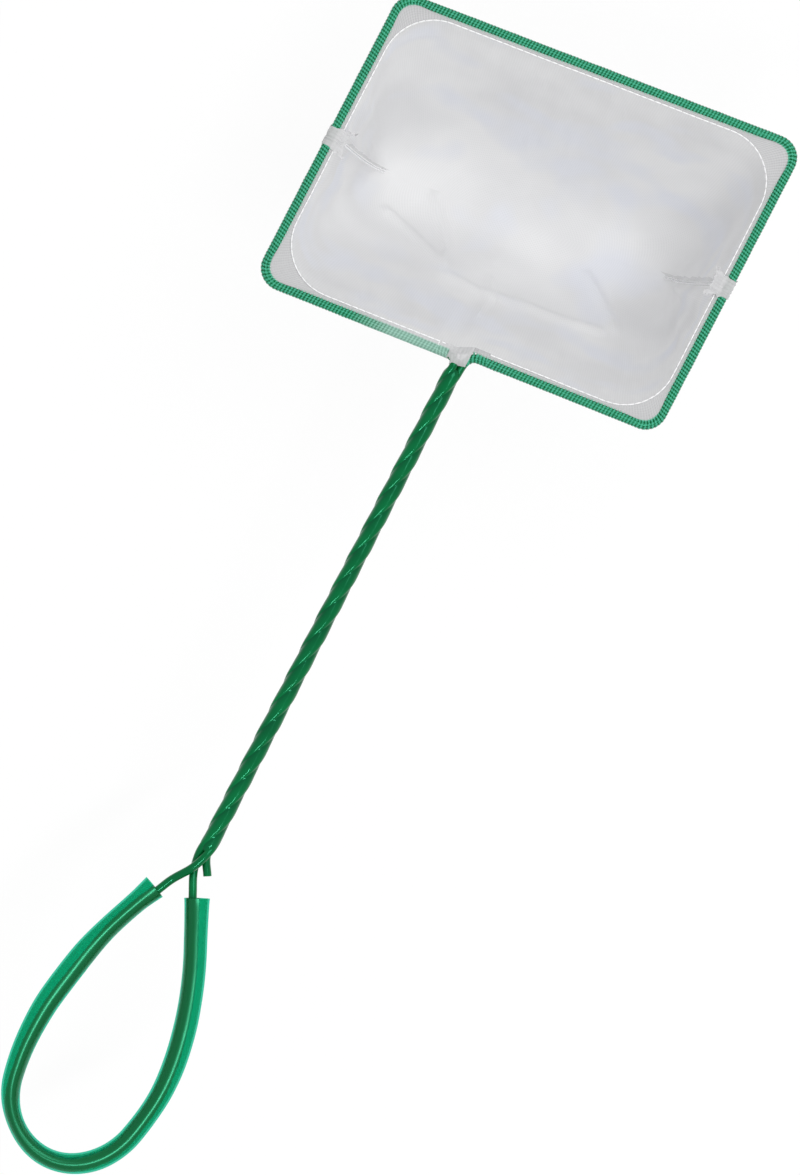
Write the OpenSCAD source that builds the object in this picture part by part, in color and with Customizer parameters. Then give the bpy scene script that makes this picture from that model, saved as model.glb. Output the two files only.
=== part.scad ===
// Aquarium fish net: a square-mouthed hoop, a twisted three-strand shaft and a hand loop, all bent
// from one plastic-coated steel wire, with a loose soft sleeve on the hand loop and a fine mesh bag.
// X runs across the mouth, Y along the shaft towards the net, Z up out of the mouth.
// The origin is the middle of the hand loop, where it is widest.

/* [Wire] */
// Diameter of the bare steel wire inside the coating
core_d = 2.2; // [1.6:0.05:2.6]
// Thickness of the plastic coating on the wire
coat_wall = 0.4; // [0.25:0.05:0.6]
// Gap between the steel and its coating
core_gap = 0.05; // [0.03:0.01:0.08]

/* [Hoop] */
// Width of the mouth, between the centre lines of the wire
hoop_w = 149.2; // [120:0.1:200]
// Length of each short side of the mouth, between the centre lines of the wire
hoop_side = 112.3; // [80:0.1:150]
// How far the long sides run out of square to the shaft, in degrees
hoop_skew = 6.3; // [0:0.1:10]
// How far the middle of the hoop sits to the left of the shaft
hoop_shift = 1.9; // [0:0.1:5]
// Bend radius of the four corners, at the centre line of the wire
hoop_bend = 6.5; // [4:0.1:12]
// Height from the end of the left front half of the hoop to the end of the right one
neck_step = 3.3; // [0:0.1:5]
// Distance from the shaft's axis to where each half of the front side starts
neck_half = 6; // [5.5:0.1:12]

/* [Shaft] */
// Length of the shaft, from the fork of the hand loop to the front side of the hoop
shaft_len = 198.5; // [120:0.5:300]
// Length of one full turn of the three strands
lay_pitch = 35; // [26:0.5:60]
// Gap between neighbouring strands
strand_gap = 0.08; // [0.05:0.01:0.2]
// Turn of the left strand about the shaft's axis at the fork, in degrees
lay_start = 145; // [130:1:160]
// Length over which the strands part below the hoop
neck_len = 6.5; // [6:0.1:12]
// Length of the cut end of wire that stands out at the fork
stub_len = 7.3; // [5:0.1:10]
// Angle between the cut end and the shaft, in degrees
stub_angle = 29; // [20:1:40]
// Length of each leg of the hand loop's wire, from where the two cross to the loop proper
leg_join = 13; // [11:0.5:15]

/* [Hand loop] */
// Length from the fork to the far end of the sleeve's centre line
loop_len = 118.5; // [110:0.5:150]
// Width of the sleeve's centre line at its widest place
loop_w = 51.2; // [49:0.1:60]
// Length from the fork to the widest place of the loop
loop_widest = 81.5; // [76:0.5:90]
// Straight length of each leg of the sleeve's centre line, from the fork
leg_len = 35.4; // [30:0.1:40]
// How much less the radius of the far end is than half the widest width
crown_in = 1.6; // [0.8:0.1:4]
// How far the loop's axis sits to the left of the shaft's axis at the far end
loop_shift = 0.9; // [0:0.1:2]
// Lean of the loop to the left, about its far end, in degrees
loop_lean = 0.6; // [0:0.1:1.5]
// How much nearer the middle of the loop the wire lies than the sleeve's centre line
wire_in = 1.5; // [1:0.1:1.6]
// How much further from the fork the wire reaches than the sleeve's centre line
wire_down = 0.8; // [0:0.1:1.2]
// How far below the fork the two wire legs cross
leg_drop = 3.8; // [3:0.1:4.2]

/* [Sleeve] */
// Outside diameter of the soft sleeve
sleeve_od = 8.8; // [8.4:0.1:10]
// Wall of the soft sleeve
sleeve_wall = 0.7; // [0.5:0.05:0.75]
// Distance from the fork to the left end of the sleeve, along the leg
sleeve_left = 20; // [17:0.5:30]
// Distance from the fork to the right end of the sleeve, along the leg
sleeve_right = 16.5; // [16:0.5:30]

/* [Bag] */
// Depth of the bag as it hangs, from the mouth to the bottom fold
bag_depth = 95; // [60:1:140]
// Thickness of the doubled mesh of the bag as a solid
net_t = 0.4; // [0.3:0.05:0.8]
// Half length of the bottom fold
fold_half = 50; // [35:1:65]
// Width of the seam allowance that stands inside the bag at each side seam
seam_w = 5; // [3:0.5:8]

/* [Hem] */
// Thickness of the mesh that is folded round the wire
hem_t = 0.3; // [0.2:0.05:0.5]
// Gap between the hem and the wire
hem_gap = 0.05; // [0.03:0.01:0.1]
// Distance from the wire's centre line to the hem stitching
stitch_in = 3; // [2.6:0.1:5]
// Radius at which the hem stitching cuts the corners of the mouth
stitch_corner = 19; // [12:0.5:26]
// Diameter of the sewing thread
thread_d = 0.45; // [0.3:0.05:0.6]
// Length of wire that each side seam's gathers cover
gather_len = 6; // [4:0.5:10]
// How far the gathers stand out from the wire
gather_t = 0.9; // [0.6:0.1:1.5]
// Inside radius of the bunched mesh at the neck
neck_wrap_r = 4; // [3.9:0.1:5]
// Thickness of the bunched mesh at the neck
neck_wrap_t = 0.4; // [0.3:0.05:0.8]

/* [Hidden] */
$fn = 48;

wire_r = core_d / 2 + coat_wall;
bore_r = core_d / 2;
steel_r = bore_r - core_gap;
fork_y = loop_widest;
neck_y = fork_y + shaft_len;
overrun = 1;

wire_green = [0.0, 0.42, 0.2];
steel_grey = [0.6, 0.62, 0.64];
sleeve_green = [0.05, 0.62, 0.45, 0.6];
mesh_white = [0.88, 0.88, 0.9];
hem_white = [0.7, 0.88, 0.82];
thread_white = [0.96, 0.96, 0.97];

// Vectors and curves

function unit(v) = v / norm(v);
function flat3(p) = [p.x, p.y, 0];
function bezier(a, b, c, d, t) =
    a * pow(1 - t, 3) + 3 * b * t * pow(1 - t, 2) + 3 * c * t * t * (1 - t) + d * pow(t, 3);
// Points after the first, from p0 along direction d0 to p1 arriving along direction d1
function curve(p0, d0, p1, d1, reach, steps) =
    [for (i = [1:steps]) bezier(p0, p0 + d0 * reach, p1 - d1 * reach, p1, i / steps)];

// The twisted shaft: three strands in a right-hand lay

strand_turn = 360 / 3;
search_step = 1;
search_span = 60;
strand_apart = 2 * wire_r + strand_gap;
// Least distance between the centre lines of two strands whose helix radius is r
function helix_gap(r) = min([
    for (a = [-search_span:search_step:0])
        sqrt(2 * r * r * (1 - cos(strand_turn + a)) + pow(lay_pitch * a / 360, 2))
]);
function solve_helix(low, high, left) =
    left == 0 ? high
    : let (mid = (low + high) / 2)
        helix_gap(mid) < strand_apart ? solve_helix(mid, high, left - 1) : solve_helix(low, mid, left - 1);
halvings = 20;
helix_r = solve_helix(strand_apart / 2, strand_apart, halvings);

function lay_angle(k, y) = lay_start + k * strand_turn + 360 * (y - fork_y) / lay_pitch;
function helix(k, y) = let (a = lay_angle(k, y)) [helix_r * sin(a), y, helix_r * cos(a)];
function helix_dir(k, y) =
    let (a = lay_angle(k, y), turn = 2 * PI * helix_r / lay_pitch) unit([turn * cos(a), 1, -turn * sin(a)]);
rings_per_turn = 12;
neck_start = neck_y - neck_len;
function helix_points(k, low) =
    let (count = ceil((neck_start - low) / lay_pitch * rings_per_turn))
        [for (i = [0:count]) helix(k, low + (neck_start - low) * i / count)];

// The hoop: one open run of wire from the neck round the mouth and back to the neck

hoop_left_x = -hoop_w / 2 - hoop_shift;
hoop_right_x = hoop_w / 2 - hoop_shift;
function front_y(x) = neck_y + x * tan(hoop_skew);
neck_left = [-neck_half, neck_y - neck_step / 2];
neck_right = [neck_half, neck_y + neck_step / 2];
front_left = [hoop_left_x, front_y(hoop_left_x)];
front_right = [hoop_right_x, front_y(hoop_right_x)];
rear_left = front_left + [0, hoop_side];
rear_right = front_right + [0, hoop_side];
hoop_path = [neck_left, front_left, rear_left, rear_right, front_right, neck_right];
seam_left = (front_left + rear_left) / 2;
seam_right = (front_right + rear_right) / 2;

function heading(a, b) = unit(b - a);
function right_of(d) = [d.y, -d.x];
function turn_at(p, i) = let (a = heading(p[i - 1], p[i]), b = heading(p[i], p[i + 1])) acos(a * b);
function tangent_len(p, i, r) = i == 0 || i == len(p) - 1 ? 0 : r * tan(turn_at(p, i) / 2);
// The same open path, moved to its right by d
function inset_path(p, d) = [
    for (i = [0:len(p) - 1])
        i == 0 ? p[0] + right_of(heading(p[0], p[1])) * d
        : i == len(p) - 1 ? p[i] + right_of(heading(p[i - 1], p[i])) * d
        : let (a = right_of(heading(p[i - 1], p[i])), b = right_of(heading(p[i], p[i + 1])))
            p[i] + unit(a + b) * d / cos(turn_at(p, i) / 2)
];
arc_steps = 8;
// The points of an open path whose corners, all turning right, are rounded to radius r
function rounded(p, r) = [
    for (i = [0:len(p) - 1])
        if (i == 0 || i == len(p) - 1) p[i]
        else
            let (
                a = heading(p[i - 1], p[i]),
                start = p[i] - a * tangent_len(p, i, r),
                centre = start + right_of(a) * r,
                from = atan2(start.y - centre.y, start.x - centre.x)
            )
                for (s = [0:arc_steps])
                    let (angle = from - turn_at(p, i) * s / arc_steps)
                        centre + [r * cos(angle), r * sin(angle)]
];
function backwards(p) = [for (i = [len(p) - 1:-1:0]) p[i]];

// The hand loop, in its own frame: its widest place at y = 0, the fork up the axis

sleeve_half = loop_w / 2;
leg_angle = 2 * atan(sleeve_half / (loop_widest + leg_len));
crown_r = sleeve_half - crown_in;
function leg_arc_r(w, fork) = (fork * sin(leg_angle) - w * cos(leg_angle)) / (1 - cos(leg_angle));
function side_arc_r(w, depth, crown) = (w * w + pow(depth - crown, 2) - crown * crown) / (2 * (w - crown));
function side_arc_angle(w, depth, crown) = atan2(depth - crown, side_arc_r(w, depth, crown) - w);
function leg_length(w, fork) =
    let (r = leg_arc_r(w, fork)) norm([w - r * (1 - cos(leg_angle)), fork - r * sin(leg_angle)]);
sleeve_depth = loop_len - loop_widest;
wire_half = sleeve_half - wire_in;
wire_depth = sleeve_depth + wire_down;
wire_crown_r = crown_r - wire_in;
wire_fork = fork_y - leg_drop;
function in_row(p) =
    let (q = [p.x, p.y + sleeve_depth, 0])
        [
            q.x * cos(loop_lean) - q.y * sin(loop_lean) - loop_shift,
            q.x * sin(loop_lean) + q.y * cos(loop_lean) - sleeve_depth,
            0
        ];
function leg_dir(side) =
    let (a = leg_angle * side + loop_lean) [sin(a), -cos(a), 0];
function leg_point(side) = in_row([side * leg_join * sin(leg_angle), wire_fork - leg_join * cos(leg_angle)]);

// Paths of the three strands, each from the fork end to the hoop end

end_steps = 8;
leg_reach = leg_join / 2;
neck_reach_share = 0.62;
neck_reach = neck_len * neck_reach_share;
left_dir = flat3(heading(neck_left, front_left));
right_dir = flat3(heading(neck_right, front_right));
stub_dir = [sin(stub_angle), -cos(stub_angle), 0];
stub_end = helix(0, fork_y) + stub_dir * stub_len;
end_reach_share = 1 / 3;
stub_reach = stub_len * end_reach_share;
tail_reach = neck_len * end_reach_share;
cross_share = 0.6;
cross_y = fork_y - leg_drop * cross_share;
tail_side_share = 1 / 3;
tail_sink_share = 0.2;
tail_end = [-helix_r * tail_side_share, neck_y - wire_r, -helix_r - wire_r * tail_sink_share];
tail_dir = [0, 1, 0];
// Strand k from its low end, which it leaves along -low_dir, to its hoop end
function strand_path(k, low, low_end, low_dir, low_reach, high_end, high_dir, high_reach) = concat(
    backwards(curve(helix(k, low), -helix_dir(k, low), low_end, low_dir, low_reach, end_steps)),
    helix_points(k, low),
    curve(helix(k, neck_start), helix_dir(k, neck_start), high_end, high_dir, high_reach, end_steps)
);
left_path = strand_path(0, fork_y, stub_end, stub_dir, stub_reach, flat3(neck_left), left_dir, neck_reach);
right_path =
    strand_path(1, cross_y, leg_point(1), leg_dir(1), leg_reach, flat3(neck_right), right_dir, neck_reach);
return_path = strand_path(2, cross_y, leg_point(-1), leg_dir(-1), leg_reach, tail_end, tail_dir, tail_reach);

// The bag: rings from the mouth down to the fold, each a rounded outline that closes to the fold

bag_half_w = hoop_w / 2 - stitch_in;
bag_half_l = hoop_side / 2 - stitch_in;
bag_top = -hem_t - hem_gap;
bag_rings = 10;
bag_points = 16;
mouth_power = 7;
fold_power = 2.4;
wall_power = 0.75;
wall_draw_share = 0.38;
end_power = 0.6;
end_draw_share = 0.25;
round_power = 1.2;
function ring_angle(i) = 90 * i / bag_rings;
// How much of a width or length is left at ring i, where its walls are drawn in by a share as they hang
function drawn(i, share) = 1 - share * sin(ring_angle(i));
function ring_half_w(i) =
    fold_half + (bag_half_w - fold_half) * pow(cos(ring_angle(i)), end_power) * drawn(i, end_draw_share);
function ring_half_l(i) = bag_half_l * pow(cos(ring_angle(i)), wall_power) * drawn(i, wall_draw_share);
function ring_z(i) = bag_top - (bag_depth + bag_top) * sin(ring_angle(i));
function ring_power(i) = fold_power + (mouth_power - fold_power) * pow(cos(ring_angle(i)), round_power);
function mouth_angle(j) = 90 - 90 * cos(180 * j / bag_points);
// A point of the bag: ring i, place j from the right seam to the left one, on the front or rear side
function bag_point(i, j, side, t) =
    let (
        a = mouth_angle(j),
        p = 2 / ring_power(i),
        u = (ring_half_w(i) - t) * sign(cos(a)) * pow(abs(cos(a)), p),
        v = max(0, ring_half_l(i) - t) * pow(sin(a), p),
        x = u - hoop_shift
    )
        [x, front_y(x) + hoop_side / 2 + side * v, ring_z(i) + t * sin(ring_angle(i))];

// Solids swept along a path, as rings of points joined by triangles

function tangent(p, i, first, last) =
    i == 0 ? first : i == len(p) - 1 ? last : unit(p[i + 1] - p[i - 1]);
up = [0, 0, 1];
function ring(p, t, r, sides) =
    let (across = unit(cross(t, up)), over = cross(across, t))
        [for (k = [0:sides - 1]) p + (across * cos(360 * k / sides) + over * sin(360 * k / sides)) * r];
function band(rows, sides, base, flip) = [
    for (i = [0:rows - 2], k = [0:sides - 1])
        let (
            a = base + i * sides + k,
            b = base + i * sides + (k + 1) % sides,
            c = a + sides,
            d = b + sides
        )
            each flip ? [[a, c, b], [b, c, d]] : [[a, b, c], [b, d, c]]
];

module solid_sweep(p, first, last, r, sides) {
    points = [for (i = [0:len(p) - 1]) each ring(p[i], tangent(p, i, first, last), r, sides)];
    top = (len(p) - 1) * sides;
    caps = [
        for (k = [1:sides - 2])
            each [[0, k + 1, k], [top, top + k, top + k + 1]]
    ];
    polyhedron(points, concat(band(len(p), sides, 0, false), caps), convexity = 6);
}

module tube_sweep(p, first, last, r_out, r_in, sides) {
    outer = [for (i = [0:len(p) - 1]) each ring(p[i], tangent(p, i, first, last), r_out, sides)];
    inner = [for (i = [0:len(p) - 1]) each ring(p[i], tangent(p, i, first, last), r_in, sides)];
    base = len(outer);
    top = (len(p) - 1) * sides;
    caps = [
        for (k = [0:sides - 1])
            let (n = (k + 1) % sides)
                each [
                    [k, base + k, n], [n, base + k, base + n],
                    [top + k, top + n, base + top + k], [top + n, base + top + n, base + top + k]
                ]
    ];
    faces = concat(band(len(p), sides, 0, false), band(len(p), sides, base, true), caps);
    polyhedron(concat(outer, inner), faces, convexity = 8);
}

// Exact round wire or tube along an open path of straight runs and bends to the right.
// Every second piece is wider by a hair and laps over its neighbours, so that they join cleanly.

seat = 0.01;
seat_len = 0.2;

module section(r_out, r_in) {
    difference() {
        circle(r_out);
        if (r_in > 0) circle(r_in);
    }
}

module straight(a, b, r_out, r_in) {
    d = b - a;
    translate([a.x, a.y, 0])
        rotate([0, 90, atan2(d.y, d.x)])
            linear_extrude(norm(d))
                section(r_out + seat, r_in - seat);
}

module arc(centre, r, from, turn, r_out, r_in) {
    translate([centre.x, centre.y, 0])
        rotate(from)
            rotate_extrude(angle = turn)
                translate([r, 0])
                    section(r_out, r_in);
}

module bent(p, r, r_out, r_in) {
    last = len(p) - 1;
    for (i = [0:last - 1]) {
        d = heading(p[i], p[i + 1]);
        lap_start = i == 0 ? 0 : seat_len;
        lap_end = i == last - 1 ? 0 : seat_len;
        start = p[i] + d * (tangent_len(p, i, r) - lap_start);
        end = p[i + 1] - d * (tangent_len(p, i + 1, r) - lap_end);
        straight(start, end, r_out, r_in);
    }
    for (i = [1:last - 1]) {
        d = heading(p[i], p[i + 1]);
        end = p[i] + d * tangent_len(p, i, r);
        centre = end + right_of(d) * r;
        arc(centre, r, atan2(end.y - centre.y, end.x - centre.x), turn_at(p, i), r_out, r_in);
    }
}

// The right half of a hand loop, without its crown
module loop_side(w, fork, depth, crown, leg_end, r_out, r_in) {
    leg_r = leg_arc_r(w, fork);
    side_r = side_arc_r(w, depth, crown);
    side_a = side_arc_angle(w, depth, crown);
    lap_a = 360 * seat_len / (2 * PI * side_r);
    along = [-sin(leg_angle), cos(leg_angle)];
    leg_top = [w - leg_r * (1 - cos(leg_angle)), leg_r * sin(leg_angle)];
    straight(leg_top - along * seat_len, [0, fork] - along * leg_end, r_out, r_in);
    arc([w - leg_r, 0], leg_r, 0, leg_angle, r_out, r_in);
    arc([w - side_r, 0], side_r, -side_a - lap_a, side_a + 2 * lap_a, r_out + seat, r_in - seat);
}

module in_loop_frame() {
    translate([-loop_shift, -sleeve_depth, 0])
        rotate(loop_lean)
            translate([0, sleeve_depth, 0])
                children();
}

module loop(w, fork, depth, crown, left_end, right_end, r_out, r_in) {
    side_a = side_arc_angle(w, depth, crown);
    in_loop_frame() {
        loop_side(w, fork, depth, crown, right_end, r_out, r_in);
        mirror([1, 0, 0]) loop_side(w, fork, depth, crown, left_end, r_out, r_in);
        arc([0, crown - depth], crown, side_a - 180, 180 - 2 * side_a, r_out, r_in);
    }
}

module wire_loop(r_out, r_in) {
    loop(wire_half, wire_fork, wire_depth, wire_crown_r, leg_join, leg_join, r_out, r_in);
}

// Wire

strand_sides = 8;

module hoop_coating() {
    color(wire_green) bent(hoop_path, hoop_bend, wire_r, bore_r);
}

module hoop_core() {
    color(steel_grey) bent(hoop_path, hoop_bend, steel_r, 0);
}

module left_strand_coating() {
    color(wire_green) tube_sweep(left_path, -stub_dir, left_dir, wire_r, bore_r, strand_sides);
}

module left_strand_core() {
    color(steel_grey) solid_sweep(left_path, -stub_dir, left_dir, steel_r, strand_sides);
}

module right_strand_coating() {
    color(wire_green) tube_sweep(right_path, -leg_dir(1), right_dir, wire_r, bore_r, strand_sides);
}

module right_strand_core() {
    color(steel_grey) solid_sweep(right_path, -leg_dir(1), right_dir, steel_r, strand_sides);
}

module return_strand_coating() {
    color(wire_green) tube_sweep(return_path, -leg_dir(-1), tail_dir, wire_r, bore_r, strand_sides);
}

module return_strand_core() {
    color(steel_grey) solid_sweep(return_path, -leg_dir(-1), tail_dir, steel_r, strand_sides);
}

module loop_coating() {
    color(wire_green) wire_loop(wire_r, bore_r);
}

module loop_core() {
    color(steel_grey) wire_loop(steel_r, 0);
}

// Soft sleeve on the hand loop

module grip_sleeve() {
    r = sleeve_od / 2;
    color(sleeve_green)
        loop(sleeve_half, fork_y, sleeve_depth, crown_r, sleeve_left, sleeve_right, r, r - sleeve_wall);
}

// Mesh bag: two panels that meet at the side seams and at the bottom fold

module bag_panel(side) {
    row = bag_points + 1;
    base = row * (bag_rings + 1);
    points = [
        for (t = [0, net_t], i = [0:bag_rings], j = [0:bag_points]) bag_point(i, j, side, t)
    ];
    walls = [
        for (i = [0:bag_rings - 1], j = [0:bag_points - 1])
            let (a = i * row + j, b = a + 1, c = a + row, d = c + 1)
                each [
                    [a, b, c], [b, d, c],
                    [base + a, base + c, base + b], [base + b, base + c, base + d]
                ]
    ];
    rim = [
        for (j = [0:bag_points - 1])
            let (a = j, b = bag_rings * row + j)
                each [
                    [a, base + a, a + 1], [a + 1, base + a, base + a + 1],
                    [b, b + 1, base + b], [b + 1, base + b + 1, base + b]
                ]
    ];
    ends = [
        for (i = [0:bag_rings - 1])
            let (a = i * row, b = a + bag_points)
                each [
                    [a, a + row, base + a], [a + row, base + a + row, base + a],
                    [b, base + b, b + row], [b + row, base + b, base + b + row]
                ]
    ];
    faces = concat(walls, rim, ends);
    color(mesh_white)
        polyhedron(points, side > 0 ? faces : [for (f = faces) backwards(f)], convexity = 8);
}

module bag_front() {
    bag_panel(-1);
}

module bag_rear() {
    bag_panel(1);
}

// Hem: the mesh folded round the wire, sewn to itself just inside the mouth

hem_r_in = wire_r + hem_gap;
hem_r_out = hem_r_in + hem_t;

module hem(p) {
    edge = rounded(inset_path(p, hem_r_in + hem_t / 2), hoop_bend - hem_r_in - hem_t / 2);
    line = rounded(inset_path(p, stitch_in + thread_d), stitch_corner);
    color(hem_white) {
        bent(p, hoop_bend, hem_r_out, hem_r_in);
        translate([0, 0, -hem_t / 2])
            linear_extrude(hem_t)
                polygon(concat(edge, backwards(line)));
    }
}

half_gather = [0, gather_len / 2 + hem_gap];
neck_bare = neck_half / 2;
neck_hem_left = neck_left + heading(neck_left, front_left) * (neck_bare + hem_gap);
neck_hem_right = neck_right + heading(neck_right, front_right) * (neck_bare + hem_gap);

module hem_front_left() {
    hem([neck_hem_left, front_left, seam_left - half_gather]);
}

module hem_front_right() {
    hem([seam_right - half_gather, front_right, neck_hem_right]);
}

module hem_rear() {
    hem([seam_left + half_gather, rear_left, rear_right, seam_right + half_gather]);
}

// One line of stitches, which lies on the hem and cuts across the corners of the mouth

module hem_stitching() {
    line = inset_path(hoop_path, stitch_in);
    color(thread_white)
        translate([0, 0, hem_t / 2 + hem_gap + thread_d / 2])
            bent(line, stitch_corner, thread_d / 2, 0);
}

// Side seams: gathers round the wire, and the allowance that stands inside the bag

seam_rings = bag_rings - 1;

module side_seam(at, side) {
    row = 4;
    clear = net_t + 2 * hem_gap;
    half_t = hem_t;
    points = [
        for (i = [0:seam_rings])
            let (
                w = ring_half_w(i) - clear,
                z = ring_z(i) + clear * sin(ring_angle(i)),
                x0 = side * w - hoop_shift,
                x1 = side * (w - seam_w) - hoop_shift
            )
                each [
                    for (q = [[x0, -1], [x1, -1], [x1, 1], [x0, 1]])
                        [q[0], front_y(q[0]) + hoop_side / 2 + q[1] * half_t, z]
                ]
    ];
    top = seam_rings * row;
    faces = concat(
        band(seam_rings + 1, row, 0, side > 0),
        side > 0
            ? [[0, 1, 2], [0, 2, 3], [top, top + 2, top + 1], [top, top + 3, top + 2]]
            : [[0, 2, 1], [0, 3, 2], [top, top + 1, top + 2], [top, top + 2, top + 3]]
    );
    color(hem_white) {
        translate([at.x, at.y, 0])
            rotate([90, 0, 0])
                rotate_extrude()
                    translate([hem_r_in, 0])
                        intersection() {
                            scale([gather_t, gather_len / 2]) circle(1);
                            translate([0, -gather_len / 2]) square([gather_t + overrun, gather_len]);
                        }
        polyhedron(points, faces, convexity = 6);
    }
}

module side_seam_left() {
    side_seam(seam_left, -1);
}

module side_seam_right() {
    side_seam(seam_right, 1);
}

// Thread of each side seam, on the allowance just inside the mesh

thread_sides = 6;

module seam_line(side) {
    inside = net_t + seam_w / 2;
    p = [
        for (i = [0:seam_rings])
            let (x = side * (ring_half_w(i) - inside) - hoop_shift)
                [
                    x,
                    front_y(x) + hoop_side / 2 - hem_t - hem_gap - thread_d / 2,
                    ring_z(i) + inside * sin(ring_angle(i))
                ]
    ];
    solid_sweep(p, unit(p[1] - p[0]), unit(p[seam_rings] - p[seam_rings - 1]), thread_d / 2, thread_sides);
}

module seam_thread() {
    color(thread_white) {
        seam_line(-1);
        seam_line(1);
    }
}

// Bunched mesh at the neck, open where the shaft comes in and where the bag hangs

module neck_gather() {
    wrap_w = 2 * (neck_half + neck_bare - hem_t);
    slot = neck_half + overrun;
    slot_half_h = neck_wrap_r - neck_wrap_t;
    color(hem_white)
        translate([0, neck_y, 0])
            difference() {
                rotate([0, 90, 0])
                    cylinder(h = wrap_w, r = neck_wrap_r + neck_wrap_t, center = true);
                rotate([0, 90, 0])
                    cylinder(h = wrap_w + 2 * overrun, r = neck_wrap_r, center = true);
                translate([-wrap_w, wire_r, -2 * neck_wrap_r])
                    cube([2 * wrap_w, 2 * neck_wrap_r, 4 * neck_wrap_r]);
                translate([-slot, -2 * neck_wrap_r, -slot_half_h])
                    cube([2 * slot, 2 * neck_wrap_r, 2 * slot_half_h]);
            }
}

hoop_coating();
hoop_core();
left_strand_coating();
left_strand_core();
right_strand_coating();
right_strand_core();
return_strand_coating();
return_strand_core();
loop_coating();
loop_core();
grip_sleeve();
bag_front();
bag_rear();
hem_front_left();
hem_front_right();
hem_rear();
hem_stitching();
side_seam_left();
side_seam_right();
seam_thread();
neck_gather();
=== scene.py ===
import math

import bpy
import numpy as np
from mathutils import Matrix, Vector, noise


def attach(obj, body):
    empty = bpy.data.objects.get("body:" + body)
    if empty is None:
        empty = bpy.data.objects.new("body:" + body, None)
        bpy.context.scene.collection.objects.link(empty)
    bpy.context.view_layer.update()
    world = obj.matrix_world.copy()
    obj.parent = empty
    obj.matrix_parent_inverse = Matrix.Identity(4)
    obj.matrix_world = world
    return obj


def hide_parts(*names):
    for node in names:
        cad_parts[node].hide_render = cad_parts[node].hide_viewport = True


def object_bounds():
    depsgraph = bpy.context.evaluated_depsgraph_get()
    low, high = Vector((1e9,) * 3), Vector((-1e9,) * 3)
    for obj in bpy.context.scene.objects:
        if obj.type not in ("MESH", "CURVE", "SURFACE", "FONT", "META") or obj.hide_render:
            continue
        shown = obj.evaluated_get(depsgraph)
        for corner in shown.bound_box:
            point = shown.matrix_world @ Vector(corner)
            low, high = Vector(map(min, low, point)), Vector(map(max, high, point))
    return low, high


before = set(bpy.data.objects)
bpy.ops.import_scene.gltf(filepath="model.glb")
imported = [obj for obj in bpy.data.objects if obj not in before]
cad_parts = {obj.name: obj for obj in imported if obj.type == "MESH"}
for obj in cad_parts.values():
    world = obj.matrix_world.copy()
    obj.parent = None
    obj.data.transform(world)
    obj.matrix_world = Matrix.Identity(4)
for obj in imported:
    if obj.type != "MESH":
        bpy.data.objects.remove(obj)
cad_low, cad_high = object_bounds()

# Lengths are in millimetres, as in the part's source, and MM makes them metres. Lamps are in metres.
MM = 0.001


# Camera: straight down on the mouth from far away, turned as in the photograph

CAMERA_X = 18.3
CAMERA_Y = 197.2
CAMERA_HEIGHT = 3000.0
CAMERA_TURN = 27.29
FRAME_HEIGHT = 415.7
SENSOR = 36.0
CLIP_RANGE = (0.1, 20.0)


def add_object(name, data):
    made = bpy.data.objects.new(name, data)
    bpy.context.scene.collection.objects.link(made)
    return made


def make_camera():
    data = bpy.data.cameras.new("camera")
    data.sensor_fit = "VERTICAL"
    data.sensor_width = SENSOR
    data.sensor_height = SENSOR
    data.lens = SENSOR * CAMERA_HEIGHT / FRAME_HEIGHT
    data.clip_start, data.clip_end = CLIP_RANGE
    camera = add_object("camera", data)
    camera.location = Vector((CAMERA_X, CAMERA_Y, CAMERA_HEIGHT)) * MM
    camera.rotation_euler = (0.0, 0.0, math.radians(CAMERA_TURN))
    bpy.context.scene.camera = camera


make_camera()


# Driving sizes of the wire frame, in millimetres and degrees

CORE_D = 2.2
COAT_WALL = 0.4
HOOP_W = 149.2
HOOP_SIDE = 112.3
HOOP_SKEW = 6.3
HOOP_SHIFT = 1.9
HOOP_BEND = 6.5
NECK_STEP = 3.3
NECK_HALF = 6.0
SHAFT_LEN = 198.5
LAY_PITCH = 35.0
STRAND_GAP = 0.08
LAY_START = 145.0
NECK_LEN = 6.5
STUB_LEN = 7.3
STUB_ANGLE = 29.0
LEG_JOIN = 13.0
LOOP_LEN = 118.5
LOOP_W = 51.2
LOOP_WIDEST = 81.5
LEG_LEN = 35.4
CROWN_IN = 1.6
LOOP_SHIFT = 0.9
LOOP_LEAN = 0.6
WIRE_IN = 1.5
WIRE_DOWN = 0.8
LEG_DROP = 3.8
SLEEVE_OD = 8.8
SLEEVE_WALL = 0.7
SLEEVE_LEFT = 20.0
SLEEVE_RIGHT = 16.5
BAG_DEPTH = 95.0
FOLD_HALF = 50.0
SEAM_W = 5.0
HEM_T = 0.3
HEM_GAP = 0.05
STITCH_IN = 3.0
STITCH_CORNER = 19.0
GATHER_LEN = 6.0

WIRE_R = CORE_D / 2 + COAT_WALL
BORE_R = CORE_D / 2
FORK_Y = LOOP_WIDEST
NECK_Y = FORK_Y + SHAFT_LEN
ACROSS, AHEAD, UP = np.eye(3)


# Small geometry helpers

def unit(v):
    v = np.asarray(v, float)
    return v / np.linalg.norm(v)


def sin_d(a):
    return math.sin(math.radians(a))


def cos_d(a):
    return math.cos(math.radians(a))


def flat3(p):
    return np.array([p[0], p[1], 0.0])


def level(points):
    """Points of a plane, at height zero."""
    return np.column_stack([points, 0 * points[:, 0]])


def smooth_step(t):
    return t * t * (3 - 2 * t)


CURVE_STEPS = 14
LEAST_ARC = 3
LEAST_CORNER = 6


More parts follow.
